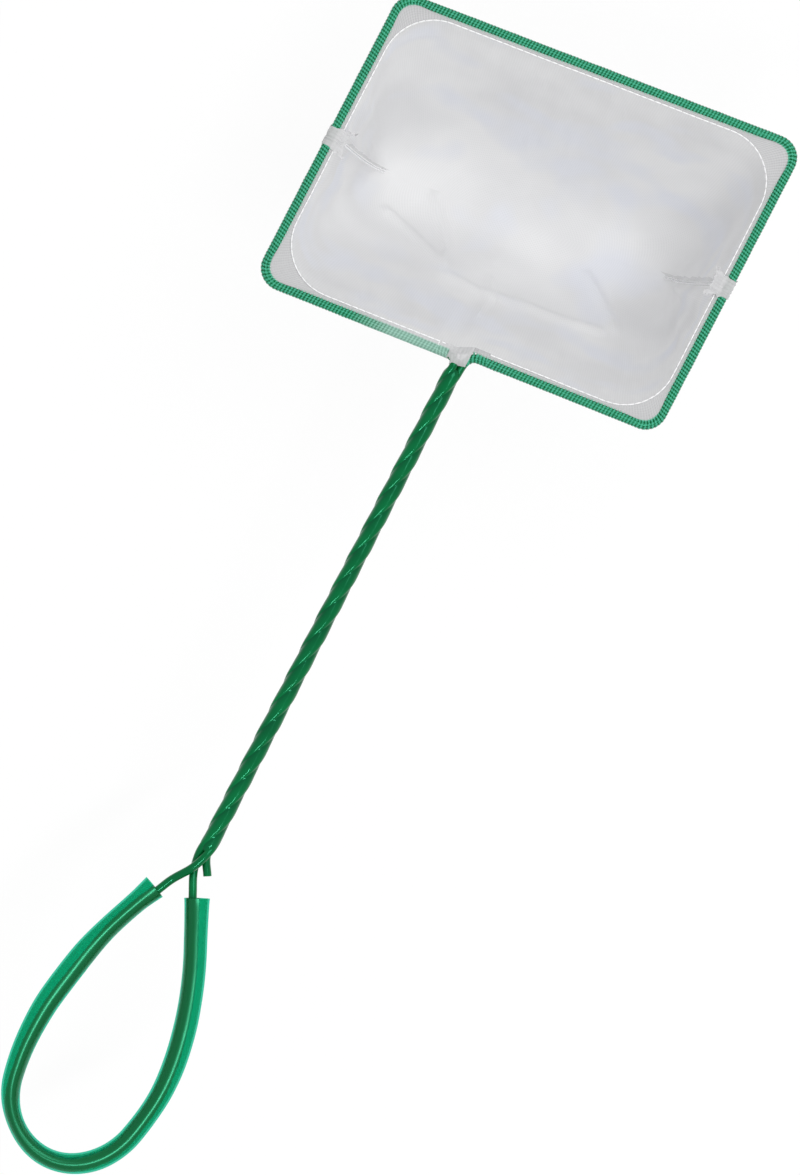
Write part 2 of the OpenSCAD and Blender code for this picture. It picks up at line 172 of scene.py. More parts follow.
def bezier_run(p0, d0, p1, d1, reach):
    """Points after the first, from p0 along d0 to p1 arriving along d1."""
    a, b, c, d = p0, p0 + d0 * reach, p1 - d1 * reach, p1
    t = np.linspace(0, 1, CURVE_STEPS + 1)[1:, None]
    return a * (1 - t) ** 3 + 3 * b * t * (1 - t) ** 2 + 3 * c * t * t * (1 - t) + d * t**3


def arc_points(centre, r, start, turn, steps):
    """Points of a circle about a 2D centre, from angle start through turn, in degrees."""
    a = np.radians(start + turn * np.arange(steps + 1) / steps)
    return np.stack([centre[0] + r * np.cos(a), centre[1] + r * np.sin(a)], 1)


def arc_run(centre, r, start, turn, spacing):
    steps = max(LEAST_ARC, math.ceil(abs(math.radians(turn)) * r / spacing))
    return arc_points(centre, r, start, turn, steps)


def line_points(a, b, steps):
    return a + (b - a) * np.arange(steps + 1)[:, None] / steps


def line_steps(a, b, spacing):
    return max(1, math.ceil(np.linalg.norm(b - a) / spacing))


def joined(*runs):
    """Runs end to end, without the point that each shares with the one before."""
    out = [runs[0]]
    for run in runs[1:]:
        out.append(run[1:] if np.linalg.norm(run[0] - out[-1][-1]) < 1e-6 else run)
    return np.concatenate(out)


def lengths_along(points):
    steps = np.linalg.norm(np.diff(points, axis=0), axis=1)
    return np.concatenate([[0.0], np.cumsum(steps)])


def even(points, count):
    """count + 1 points at even distances along a line of points."""
    s = lengths_along(points)
    wanted = np.linspace(0, s[-1], count + 1)
    return np.stack([np.interp(wanted, s, points[:, k]) for k in range(points.shape[1])], 1)


def eased(x, places, values):
    """A smooth curve through values at rising places, level at both ends."""
    x, places, values = (np.asarray(v, float) for v in (x, places, values))
    slope = np.gradient(values, places)
    slope[[0, -1]] = 0.0
    i = np.clip(np.searchsorted(places, x) - 1, 0, len(places) - 2)
    gap = places[i + 1] - places[i]
    t = np.clip((x - places[i]) / gap, 0, 1)
    step = values[i] * (1 + 2 * t) * (1 - t) ** 2 + values[i + 1] * smooth_step(t)
    return step + gap * (slope[i] * t * (1 - t) ** 2 - slope[i + 1] * t * t * (1 - t))


NOISE_SHIFT = (17.3, 5.1, 9.7)


def rough(points, scale, seed=0.0):
    """Smooth noise from -1 to 1 at each point, with features about scale millimetres wide."""
    shift = Vector([seed * k for k in NOISE_SHIFT])
    return np.array([noise.noise(Vector(p) / scale + shift) for p in points])


# The twisted shaft

STRAND_TURN = 120.0
LOOK_BACK = 60.0
HALVINGS = 20


def helix_gap(r):
    """The least distance between the centre lines of two strands at this radius."""
    a = np.arange(-LOOK_BACK, 1.0)
    chord = 2 * r * r * (1 - np.cos(np.radians(STRAND_TURN + a)))
    return np.sqrt(chord + (LAY_PITCH * a / 360) ** 2).min()


def solve_helix():
    apart = 2 * WIRE_R + STRAND_GAP
    low, high = apart / 2, apart
    for _ in range(HALVINGS):
        mid = (low + high) / 2
        low, high = (mid, high) if helix_gap(mid) < apart else (low, mid)
    return high


HELIX_R = solve_helix()


def lay_angle(k, y):
    return np.radians(LAY_START + k * STRAND_TURN + 360 * (y - FORK_Y) / LAY_PITCH)


def helix(k, y):
    a = lay_angle(k, np.asarray(y, float))
    return np.stack([HELIX_R * np.sin(a), np.asarray(y, float) + 0 * a, HELIX_R * np.cos(a)], -1)


def helix_dir(k, y):
    a = lay_angle(k, y)
    turn = 2 * math.pi * HELIX_R / LAY_PITCH
    return unit([turn * math.cos(a), 1.0, -turn * math.sin(a)])


# The hoop and the lines that follow it

def front_y(x):
    return NECK_Y + x * math.tan(math.radians(HOOP_SKEW))


HOOP_LEFT = -HOOP_W / 2 - HOOP_SHIFT
HOOP_RIGHT = HOOP_W / 2 - HOOP_SHIFT
NECK_LEFT = np.array([-NECK_HALF, NECK_Y - NECK_STEP / 2])
NECK_RIGHT = np.array([NECK_HALF, NECK_Y + NECK_STEP / 2])
FRONT_LEFT = np.array([HOOP_LEFT, front_y(HOOP_LEFT)])
FRONT_RIGHT = np.array([HOOP_RIGHT, front_y(HOOP_RIGHT)])
REAR_LEFT = FRONT_LEFT + [0, HOOP_SIDE]
REAR_RIGHT = FRONT_RIGHT + [0, HOOP_SIDE]
SEAM_LEFT = (FRONT_LEFT + REAR_LEFT) / 2
SEAM_RIGHT = (FRONT_RIGHT + REAR_RIGHT) / 2
HOOP_PATH = [NECK_LEFT, FRONT_LEFT, REAR_LEFT, REAR_RIGHT, FRONT_RIGHT, NECK_RIGHT]


def right_of(d):
    return np.array([d[1], -d[0]])


def turn_at(path, i):
    a, b = unit(path[i] - path[i - 1]), unit(path[i + 1] - path[i])
    return math.degrees(math.acos(max(-1.0, min(1.0, float(a @ b)))))


def tangent_len(path, i, r):
    if i in (0, len(path) - 1):
        return 0.0
    return r * math.tan(math.radians(turn_at(path, i)) / 2)


def inset_path(path, d):
    """The same open path, moved to its right by d."""
    ways = [right_of(unit(b - a)) for a, b in zip(path, path[1:])]
    out = [path[0] + ways[0] * d]
    for i in range(1, len(path) - 1):
        out.append(path[i] + unit(ways[i - 1] + ways[i]) * d / cos_d(turn_at(path, i) / 2))
    return out + [path[-1] + ways[-1] * d]


def rounded(path, r, spacing=1.0, counts=None):
    """An open path whose corners, all turning right, are rounded to radius r.
    counts gives the steps of each straight run and each arc in turn, so that two paths can be paired."""
    runs, used = [], []
    for i in range(len(path) - 1):
        d = unit(path[i + 1] - path[i])
        a = path[i] + d * tangent_len(path, i, r)
        b = path[i + 1] - d * tangent_len(path, i + 1, r)
        used.append(counts[len(used)] if counts else line_steps(a, b, spacing))
        runs.append(line_points(a, b, used[-1]))
        if i < len(path) - 2:
            turn = turn_at(path, i + 1)
            centre = b + right_of(d) * r
            start = math.degrees(math.atan2(b[1] - centre[1], b[0] - centre[0]))
            steps = max(LEAST_CORNER, math.ceil(math.radians(turn) * r / spacing))
            used.append(counts[len(used)] if counts else steps)
            runs.append(arc_points(centre, r, start, -turn, used[-1]))
    return joined(*runs), used


def stitch_line(path, spacing=1.0, counts=None):
    """Where the hem along this part of the hoop is sewn."""
    return rounded(inset_path(path, STITCH_IN), STITCH_CORNER, spacing, counts)[0]


# The hand loop, in its own frame: its widest place at y = 0, the fork up the axis

SLEEVE_HALF = LOOP_W / 2
SLEEVE_SPACING = 1.1
SLEEVE_DEPTH = LOOP_LEN - LOOP_WIDEST
LEG_ANGLE = math.degrees(2 * math.atan(SLEEVE_HALF / (LOOP_WIDEST + LEG_LEN)))
CROWN_R = SLEEVE_HALF - CROWN_IN


def in_row(points):
    """Points of the loop's own frame, in the frame of the part."""
    x, y = points[:, 0], points[:, 1] + SLEEVE_DEPTH
    c, s = cos_d(LOOP_LEAN), sin_d(LOOP_LEAN)
    return np.stack([x * c - y * s - LOOP_SHIFT, x * s + y * c - SLEEVE_DEPTH, 0 * x], 1)


def loop_side(w, fork, depth, crown, leg_end, spacing):
    """The right side of a loop, from the leg's end down to the start of the crown."""
    sin_a, cos_a = sin_d(LEG_ANGLE), cos_d(LEG_ANGLE)
    leg_r = (fork * sin_a - w * cos_a) / (1 - cos_a)
    side_r = (w * w + (depth - crown) ** 2 - crown * crown) / (2 * (w - crown))
    side_a = math.degrees(math.atan2(depth - crown, side_r - w))
    end = np.array([leg_end * sin_a, fork - leg_end * cos_a])
    top = np.array([w - leg_r * (1 - cos_a), leg_r * sin_a])
    leg = line_points(end, top, line_steps(end, top, spacing))
    upper = arc_run([w - leg_r, 0], leg_r, LEG_ANGLE, -LEG_ANGLE, spacing)
    lower = arc_run([w - side_r, 0], side_r, 0, -side_a, spacing)
    return joined(leg, upper, lower), side_a


def loop_run(w, fork, depth, crown, left_end, right_end, spacing):
    """The whole loop from the right leg's end, round the crown, to the left leg's end."""
    right, side_a = loop_side(w, fork, depth, crown, right_end, spacing)
    left, _ = loop_side(w, fork, depth, crown, left_end, spacing)
    crown_arc = arc_run([0, crown - depth], crown, -side_a, 2 * side_a - 180, spacing)
    return in_row(joined(right, crown_arc, (left * [-1, 1])[::-1]))


# How far the bent loop strays inward from its plain outline, in millimetres at degrees clockwise from
# the fork, for the sleeve and for the wire inside it, and the sleeve's half width along its run

SWAY_CENTRE = np.array([-0.9, 10.0])
SLEEVE_SWAY = (
    (0, 20, 60, 110, 145, 180, 205, 220, 270, 310, 335, 350, 360),
    (0, 0, -0.5, -1.0, -0.7, -2.3, -0.6, 0.4, 1.2, 1.6, 0.9, 0, 0),
)
WIRE_SWAY = (
    (0, 20, 50, 90, 115, 140, 158, 180, 200, 212, 235, 270, 305, 325, 340, 350, 360),
    (0, -0.1, -0.6, -1.5, -2.0, -1.5, -1.2, -2.7, -1.4, 0.1, 0.7, 1.1, 1.8, 1.7, 0.8, 0.1, 0),
)
SLEEVE_HALF_WIDTH = (
    (0, 0.05, 0.25, 0.33, 0.45, 0.51, 0.57, 0.62, 0.7, 0.8, 0.86, 0.92, 0.97, 1),
    (4.4, 4.2, 4.1, 3.8, 3.8, 3.4, 3.0, 3.4, 3.95, 4.4, 4.3, 3.8, 3.9, 4.4),
)
SLEEVE_EASE = 0.12
WIRE_ROOM = WIRE_R + SLEEVE_WALL + SLEEVE_EASE
SLEEVE_SLIP = 0.8


def clock_angle(points):
    """Degrees clockwise from the fork, round the middle of the loop."""
    x, y = points[:, 0] - SWAY_CENTRE[0], points[:, 1] - SWAY_CENTRE[1]
    return np.degrees(np.arctan2(x, y)) % 360


def moved_in(points, distance):
    """Points of the loop, moved toward its middle."""
    way = SWAY_CENTRE - points[:, :2]
    way = way / np.linalg.norm(way, axis=1)[:, None]
    return points + np.column_stack([way * distance[:, None], 0 * distance])


def sleeve_line():
    """The middle line of the sleeve, and its half width at each point."""
    line = loop_run(SLEEVE_HALF, FORK_Y, SLEEVE_DEPTH, CROWN_R, SLEEVE_LEFT, SLEEVE_RIGHT, SLEEVE_SPACING)
    s = lengths_along(line)
    half = eased(s / s[-1], *SLEEVE_HALF_WIDTH)
    return moved_in(line, eased(clock_angle(line), *SLEEVE_SWAY)), half


def swayed_wire(line):
    """The wire's loop, moved as it lies, and kept inside the bore as far as the sleeve slips."""
    moved = moved_in(line, eased(clock_angle(line), *WIRE_SWAY))
    middle, half = sleeve_line()
    for i, p in enumerate(moved):
        away = p - middle
        near = int(np.argmin((away**2).sum(1)))
        if 0 < near < len(middle) - 1:
            way = right_of(unit((middle[near + 1] - middle[near - 1])[:2]))
            room = max(half[near] - WIRE_ROOM - SLEEVE_SLIP * abs(way[1]), 0.0)
            off = float(away[near][:2] @ way)
            moved[i, :2] += way * (max(-room, min(room, off)) - off)
    return moved


# The one wire, from its cut end at the fork to its tail under the mesh at the neck

WIRE_HALF = SLEEVE_HALF - WIRE_IN
WIRE_DEPTH = SLEEVE_DEPTH + WIRE_DOWN
WIRE_CROWN_R = CROWN_R - WIRE_IN
WIRE_FORK = FORK_Y - LEG_DROP
NECK_START = NECK_Y - NECK_LEN
WIRE_SPACING = 1.6


def leg_dir(side):
    a = LEG_ANGLE * side + LOOP_LEAN
    return np.array([sin_d(a), -cos_d(a), 0.0])


def leg_point(side):
    p = [[side * LEG_JOIN * sin_d(LEG_ANGLE), WIRE_FORK - LEG_JOIN * cos_d(LEG_ANGLE)]]
    return in_row(np.array(p))[0]


def strand_run(k, low, low_end, high_end):
    """Strand k from its low end, past the fork and up the shaft, to its hoop end.
    An end is its point, the way on from there, and the reach of the bend to it."""
    steps = math.ceil(NECK_START - low)
    bottom = bezier_run(helix(k, low), -helix_dir(k, low), *low_end)
    middle = helix(k, np.linspace(low, NECK_START, steps + 1))
    top = bezier_run(helix(k, NECK_START), helix_dir(k, NECK_START), *high_end)
    return np.concatenate([bottom[::-1], middle, top])


CROSS_SHARE = 0.6
NECK_REACH_SHARE = 0.62
TAIL_LOW_SHARE = 0.2
LEFT_DIR = flat3(unit(FRONT_LEFT - NECK_LEFT))
RIGHT_DIR = flat3(unit(FRONT_RIGHT - NECK_RIGHT))
STUB_DIR = np.array([sin_d(STUB_ANGLE), -cos_d(STUB_ANGLE), 0.0])
CROSS_Y = FORK_Y - LEG_DROP * CROSS_SHARE
NECK_REACH = NECK_LEN * NECK_REACH_SHARE
TAIL_END = np.array([-HELIX_R / 3, NECK_Y - WIRE_R, -HELIX_R - WIRE_R * TAIL_LOW_SHARE])


def flush(strand, end):
    """A strand whose low end is moved on to the loop's end, the rest following less and less."""
    share = np.clip(1 - np.arange(len(strand)) / CURVE_STEPS, 0, 1)
    return strand + (end - strand[0]) * smooth_step(share)[:, None]


def wire_line():
    stub = (helix(0, FORK_Y) + STUB_DIR * STUB_LEN, STUB_DIR, STUB_LEN / 3)
    legs = [(leg_point(side), leg_dir(side), LEG_JOIN / 2) for side in (1, -1)]
    left = strand_run(0, FORK_Y, stub, (flat3(NECK_LEFT), LEFT_DIR, NECK_REACH))
    right = strand_run(1, CROSS_Y, legs[0], (flat3(NECK_RIGHT), RIGHT_DIR, NECK_REACH))
    back = strand_run(2, CROSS_Y, legs[1], (TAIL_END, AHEAD, NECK_LEN / 3))
    hoop, _ = rounded(HOOP_PATH, HOOP_BEND, WIRE_SPACING)
    loop = loop_run(WIRE_HALF, WIRE_FORK, WIRE_DEPTH, WIRE_CROWN_R, LEG_JOIN, LEG_JOIN, WIRE_SPACING)
    loop = swayed_wire(loop)
    right, back = flush(right, loop[0]), flush(back, loop[-1])
    return joined(left, level(hoop), right[::-1], loop, back)


# Meshes

def tangents(points):
    t = np.gradient(points, axis=0)
    return t / np.linalg.norm(t, axis=1)[:, None]


def carried_frames(points):
    """Two directions across the line at each point, carried along it without twist."""
    t = tangents(points)
    across = [unit(np.cross(t[0], UP))]
    for i in range(1, len(points)):
        across.append(unit(across[-1] - t[i] * (across[-1] @ t[i])))
    across = np.array(across)
    return across, np.cross(across, t)


def round_angles(sides):
    return 2 * math.pi * np.arange(sides) / sides


def tube_rings(points, radius, sides):
    """Rings of points round a line. radius is one number, or one for each ring."""
    across, over = carried_frames(points)
    a = round_angles(sides)
    r = np.broadcast_to(np.asarray(radius, float), (len(points), sides))[:, :, None]
    ring = across[:, None] * np.cos(a)[:, None] + over[:, None] * np.sin(a)[:, None]
    return points[:, None] + ring * r


def grid_faces(rows, columns, wrap=False, base=0, flip=False):
    faces = []
    for i in range(rows - 1):
        for j in range(columns if wrap else columns - 1):
            k = (j + 1) % columns
            a, b = base + i * columns + j, base + i * columns + k
            c, d = a + columns, b + columns
            faces.append((a, c, d, b) if flip else (a, b, d, c))
    return faces


def capped_faces(rows, sides, base=0):
    """Faces of a rod of rings, with both of its ends."""
    last = base + (rows - 1) * sides
    ends = [tuple(base + k for k in range(sides))[::-1], tuple(last + k for k in range(sides))]
    return grid_faces(rows, sides, True, base) + ends


def shifted(faces, base):
    return [tuple(base + k for k in face) for face in faces]


def new_piece(name, points, faces, material, smooth=35.0):
    """A mesh object from points in millimetres."""
    mesh = bpy.data.meshes.new(name)
    mesh.from_pydata([tuple(p) for p in np.asarray(points, float).reshape(-1, 3) * MM], [], faces)
    mesh.update()
    mesh.polygons.foreach_set("use_smooth", [True] * len(mesh.polygons))
    mesh.set_sharp_from_angle(angle=math.radians(smooth))
    mesh.materials.append(material)
    return add_object(name, mesh)


def set_uv(piece, uv):
    """uv gives a place on the cloth, in millimetres, for each vertex."""
    mesh = piece.data
    index = np.zeros(len(mesh.loops), int)
    mesh.loops.foreach_get("vertex_index", index)
    layer = mesh.uv_layers.new(name="cloth")
    layer.data.foreach_set("uv", np.asarray(uv, np.float32)[index].ravel())


def set_shares(piece, **shares):
    """Each share gives a number for each vertex, for the material to read."""
    for name, values in shares.items():
        attribute = piece.data.attributes.new(name, "FLOAT", "POINT")
        attribute.data.foreach_set("value", np.asarray(values, np.float32).ravel())


def settle(piece, body, slot, *nodes):
    """Hangs a piece on the body it rides on and hides the nodes that it stands for. slot, the material
    slot it takes, is not used.
    """
    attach(piece, body)
    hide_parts(*nodes)


def shell_of_tube(outer, inner):
    """Faces of a tube with a bore: outer and inner rings, joined at both ends."""
    rows, sides = outer.shape[:2]
    base = rows * sides
    faces = grid_faces(rows, sides, True) + grid_faces(rows, sides, True, base, True)
    top = (rows - 1) * sides
    for k in range(sides):
        n = (k + 1) % sides
        faces.append((k, base + k, base + n, n))
        faces.append((top + k, top + n, base + top + n, base + top + k))
    return np.concatenate([outer.reshape(-1, 3), inner.reshape(-1, 3)]), faces


# Materials

def node_of(tree, kind):
    return next(n for n in tree.nodes if n.type == kind)


def node_material(name):
    material = bpy.data.materials.new(name)
    material.use_nodes = True
    tree = material.node_tree
    return material, tree, node_of(tree, "BSDF_PRINCIPLED")


def feed(socket, value):
    """Links a socket to another one, or sets its constant."""
    if isinstance(value, bpy.types.NodeSocket):
        socket.id_data.links.new(value, socket)
    else:
        socket.default_value = value


def set_inputs(node, **values):
    """Feeds a node's inputs by name, with _ for each space."""
    for key, value in values.items():
        feed(node.inputs[key.replace("_", " ")], value)


def add_node(tree, kind, **values):
    made = tree.nodes.new(kind)
    set_inputs(made, **values)
    return made


def maths(tree, operation, *values):
    made = tree.nodes.new("ShaderNodeMath")
    made.operation = operation
    for socket, value in zip(made.inputs, values):
        feed(socket, value)
    return made.outputs[0]


def ramp(tree, value, low, high, from_low=0.0, from_high=1.0):
    values = {"Value": value, "From_Min": from_low, "From_Max": from_high, "To_Min": low, "To_Max": high}
    return add_node(tree, "ShaderNodeMapRange", **values).outputs[0]


def blend_colours(tree, share, a, b):
    made = tree.nodes.new("ShaderNodeMix")
    made.data_type = "RGBA"
    for socket, value in zip((made.inputs[0], made.inputs[6], made.inputs[7]), (share, a, b)):
        feed(socket, value)
    return made.outputs[2]


def object_noise(tree, feature, detail=2.0):
    """Noise in object space, with features about feature millimetres wide."""
    where = tree.nodes.new("ShaderNodeTexCoord").outputs["Object"]
    made = add_node(tree, "ShaderNodeTexNoise", Vector=where, Scale=1 / (feature * MM), Detail=detail)
    return made.outputs[0]


def centred_noise(tree, feature, span, detail=2.0):
    """The same noise, from -span / 2 to span / 2."""
    return maths(tree, "MULTIPLY_ADD", object_noise(tree, feature, detail), span, -span / 2)


def share_of(tree, name):
    """What set_shares gave the mesh under this name."""
    made = tree.nodes.new("ShaderNodeAttribute")
    made.attribute_name = name
    return made.outputs["Fac"]


def bump(tree, height, depth, strength):
    made = add_node(tree, "ShaderNodeBump", Height=height, Distance=depth * MM, Strength=strength)
    return made.outputs[0]


def show_mix(tree, share, first, second):
    """Sends a mix of two shaders to the material's output, with this share of the second."""
    mixed = add_node(tree, "ShaderNodeMixShader", Fac=share)
    feed(mixed.inputs[1], first.outputs[0])
    feed(mixed.inputs[2], second.outputs[0])
    feed(node_of(tree, "OUTPUT_MATERIAL").inputs[0], mixed.outputs[0])


WIRE_GREEN = (0.0, 0.120, 0.027, 1.0)
WIRE_GREEN_DEEP = (0.0, 0.082, 0.018, 1.0)
# Painted shade: the darker green that the grooves between the strands take
GROOVE_SHADE_GREEN = (0.0, 0.040, 0.010, 1.0)
SHINE_GREEN = (0.15, 1.0, 0.58, 1.0)
WIRE_CLOUDS = 9.0
WIRE_PATCHES = 5.0
WIRE_DENTS = 6.0
WIRE_ROUGHNESS = (0.10, 0.15)


def coating_material():
    material, tree, shader = node_material("wire_coating")
    cloudy = ramp(tree, object_noise(tree, WIRE_CLOUDS), 0, 1, 0.3, 0.7)
    colour = blend_colours(tree, cloudy, WIRE_GREEN_DEEP, WIRE_GREEN)
    set_inputs(
        shader,
        # Darker in the grooves between the strands: painted shade
        Base_Color=blend_colours(tree, share_of(tree, "groove"), colour, GROOVE_SHADE_GREEN),
        Roughness=ramp(tree, object_noise(tree, WIRE_PATCHES), *WIRE_ROUGHNESS),
        Normal=bump(tree, object_noise(tree, WIRE_DENTS, 0.0), 0.02, 0.2),
        IOR=1.5,
        Specular_IOR_Level=0.7,
        Specular_Tint=SHINE_GREEN,
    )
    return material


STEEL_DARK = (0.42, 0.42, 0.43, 1.0)
STEEL_LIGHT = (0.62, 0.62, 0.63, 1.0)
STEEL_GRAIN = 0.4


def steel_material():
    material, tree, shader = node_material("steel_wire")
    grain = object_noise(tree, STEEL_GRAIN, 4.0)
    colour = blend_colours(tree, grain, STEEL_DARK, STEEL_LIGHT)
    set_inputs(shader, Base_Color=colour, Roughness=ramp(tree, grain, 0.25, 0.5), Metallic=1.0)
    return material


SLEEVE_CLEAR = (0.24, 0.83, 0.68, 1.0)
SLEEVE_BODY = (0.0, 0.28, 0.14, 1.0)
# Colour painted over the wire: the wire seen through the sleeve, with painted shade round it
SLEEVE_WIRE_AND_SHADE = (0.0, 0.075, 0.006, 1.0)
SLEEVE_EDGE = 3.0
SLEEVE_PATCHES = 5.0
SLEEVE_DENTS = 7.0
SLEEVE_ROUGHNESS = (0.26, 0.31)
WIRE_AND_SHADE_REACH = 2.3
SLEEVE_SHEER_SHARE = 0.2
COVER_OVER_WIRE_AND_SHADE = 0.72


def sleeve_material():
    """Thin translucent plastic, painted dark green and less clear near the wire: the wire seen through it,
    with painted shade out past the wire's edge.
    """
    material, tree, shader = node_material("sleeve_plastic")
    place = maths(tree, "ADD", share_of(tree, "wire_gap"), centred_noise(tree, SLEEVE_EDGE, 0.5))
    # 1 near the wire and a little past its edge, as far as the painted shade reaches
    share = ramp(tree, place, 1.0, 0.0, WIRE_AND_SHADE_REACH - 0.2, WIRE_AND_SHADE_REACH + 0.3)
    set_inputs(
        shader,
        Base_Color=blend_colours(tree, share, SLEEVE_BODY, SLEEVE_WIRE_AND_SHADE),
        Roughness=ramp(tree, object_noise(tree, SLEEVE_PATCHES), *SLEEVE_ROUGHNESS),
        Normal=bump(tree, object_noise(tree, SLEEVE_DENTS, 0.0), 0.04, 0.25),
        IOR=1.7,
        Specular_IOR_Level=1.0,
        Specular_Tint=SHINE_GREEN,
    )
    clear = add_node(tree, "ShaderNodeBsdfTransparent", Color=SLEEVE_CLEAR)
    show_mix(tree, ramp(tree, share, SLEEVE_SHEER_SHARE, COVER_OVER_WIRE_AND_SHADE), clear, shader)
    return material


def cloth_wave(tree, way, pitch):
    """A wave from -1 to 1 over the cloth, along way, with this pitch in millimetres."""
    uv = tree.nodes.new("ShaderNodeUVMap")
    uv.uv_map = "cloth"
    along = add_node(tree, "ShaderNodeVectorMath", Vector=uv.outputs[0])
    along.operation = "DOT_PRODUCT"
    feed(along.inputs[1], way)
    phase = maths(tree, "MULTIPLY", along.outputs["Value"], 2 * math.pi / pitch)
    return maths(tree, "COSINE", phase)


def net_pattern(tree, pitch):
    """A six-sided net on the cloth: 0 on its threads, 1 in the middle of its holes."""
    waves = [cloth_wave(tree, (cos_d(a), sin_d(a), 0.0), pitch) for a in (0.0, 60.0, 120.0)]
    total = maths(tree, "ADD", maths(tree, "ADD", waves[0], waves[1]), waves[2])
    return ramp(tree, total, 0.0, 1.0, -0.9, 0.9)


BAG_LIGHT = (0.735, 0.735, 0.74, 1.0)
BAG_BLUE = (0.665, 0.68, 0.735, 1.0)
BAG_GREY = (0.65, 0.65, 0.66, 1.0)
NET_PITCH = 0.9
BAG_PATCHES = 30.0
BAG_BLUE_PATCHES = 22.0
BAG_COVER = (0.84, 0.78)


def bag_material():
    material, tree, shader = node_material("bag_mesh")
    broad = ramp(tree, object_noise(tree, BAG_PATCHES, 1.0), 0.0, 1.0, 0.35, 0.65)
    blue = ramp(tree, object_noise(tree, BAG_BLUE_PATCHES, 1.0), 0.0, 1.0, 0.5, 0.7)
    holes = net_pattern(tree, NET_PITCH)
    set_inputs(
        shader,
        Base_Color=blend_colours(tree, blue, blend_colours(tree, broad, BAG_GREY, BAG_LIGHT), BAG_BLUE),
        Alpha=ramp(tree, holes, *BAG_COVER),
        Normal=bump(tree, maths(tree, "SUBTRACT", 1.0, holes), 0.03, 0.15),
        Roughness=0.75,
        Sheen_Weight=0.15,
        Specular_IOR_Level=0.2,
    )
    return material


# Thread colours over the wire: painted green light from the wire under them, paler where the hem laps over
# itself
HEM_WIRE_GREEN_LIGHT = (0.06, 0.40, 0.245, 1.0)
HEM_LAPPED_WIRE_LIGHT = (0.50, 0.68, 0.62, 1.0)
HEM_WEB = (0.46, 0.46, 0.47, 1.0)
HEM_PALE = (0.74, 0.74, 0.75, 1.0)
HEM_RIBS = 1.25
HEM_ROWS = 0.9
HEM_SLANT = 0.25
BAND_HALF = 1.55
SHEER_FROM = 12.0
SHEER_SHARE = 0.35
LAP_COVER = 0.85
STRETCHED_COVER = (0.03, 0.9)
WEB_COVER = (0.48, 0.60)
ROWS_SHARE = 0.6


def hem_material():
    """The same mesh. Stretched round the wire, it shows the green between its threads, and its threads
    there are painted green as well, a painted light from the wire under them.
    """
    material, tree, shader = node_material("hem_mesh")
    inward, lapped = share_of(tree, "off_wire"), share_of(tree, "lap")
    place = maths(tree, "ADD", inward, centred_noise(tree, 1.0, 0.5))
    pale = ramp(tree, place, 0.0, 1.0, BAND_HALF, BAND_HALF + 0.5)
    # Over the wire the threads are painted green, a painted light from the wire
    band = blend_colours(tree, lapped, HEM_WIRE_GREEN_LIGHT, HEM_LAPPED_WIRE_LIGHT)
    slack_colour = blend_colours(tree, lapped, HEM_WEB, HEM_PALE)
    ribs = cloth_wave(tree, (1.0, HEM_SLANT, 0.0), HEM_RIBS)
    rows = cloth_wave(tree, (0.0, 1.0, 0.0), HEM_ROWS)
    uneven = centred_noise(tree, 1.5, 1.2, 3.0)
    weave = maths(tree, "ADD", maths(tree, "MULTIPLY_ADD", rows, ROWS_SHARE, ribs), uneven)
    thread = ramp(tree, weave, 0.0, 1.0, -0.75, 0.65)
    stretched = ramp(tree, thread, *STRETCHED_COVER)
    sheer = ramp(tree, inward, 1.0, SHEER_SHARE, SHEER_FROM, SHEER_FROM + 1.0)
    slack = maths(tree, "MULTIPLY", ramp(tree, thread, *WEB_COVER), sheer)
    cover = maths(tree, "MULTIPLY_ADD", maths(tree, "SUBTRACT", slack, stretched), pale, stretched)
    cover = maths(tree, "MULTIPLY_ADD", maths(tree, "SUBTRACT", LAP_COVER, cover), lapped, cover)
    set_inputs(
        shader,
        Base_Color=blend_colours(tree, pale, band, slack_colour),
        Alpha=cover,
        Normal=bump(tree, thread, 0.06, 0.4),
        Roughness=0.7,
        Specular_IOR_Level=0.2,
    )
    return material


THREAD_SHADE = (0.86, 0.86, 0.87, 1.0)
THREAD_WHITE = (0.96, 0.96, 0.97, 1.0)
FIBRES = 0.25


def thread_material():
    material, tree, shader = node_material("sewing_thread")
    fibre = object_noise(tree, FIBRES, 4.0)
    colour = blend_colours(tree, fibre, THREAD_SHADE, THREAD_WHITE)
    relief = bump(tree, fibre, 0.05, 0.6)
    set_inputs(shader, Base_Color=colour, Normal=relief, Roughness=0.6, Sheen_Weight=0.2)
    return material


COATING = coating_material()
STEEL = steel_material()
SLEEVE = sleeve_material()
BAG = bag_material()
HEM = hem_material()
THREAD = thread_material()


# The coated wire and its steel

WIRE_SPANS = ("hoop", "left_strand", "right_strand", "return_strand", "loop")
WIRE_SIDES = 20
CORE_SIDES = 12
CORE_EASE = 0.03
STRANDS = 3
SKIN_SIDES = 72
SKIN_STEP = 0.7
SKIN_R = HELIX_R + WIRE_R + 0.02
GROOVE_DEEP = 0.5
CREST_AT = 0.79
CREST_ROUND = 0.09
RISE_POWER = 0.7
FALL_POWER = 0.8
SKIN_TAPER = 2.5
SKIN_END_SHARE = 0.6
SKIN_OVER = 2.0
SKIN_UNEVEN = 0.015
GROOVE_SHADE_POWER = 1.4


def groove_share(place):
    """How deep in a groove a place across one strand is, its crest nearer to the strand's far side."""
    place = place % 1.0
    rise = (place / CREST_AT) ** RISE_POWER
    fall = ((1 - place) / (1 - CREST_AT)) ** FALL_POWER
    return 1 - np.minimum(rise, fall)


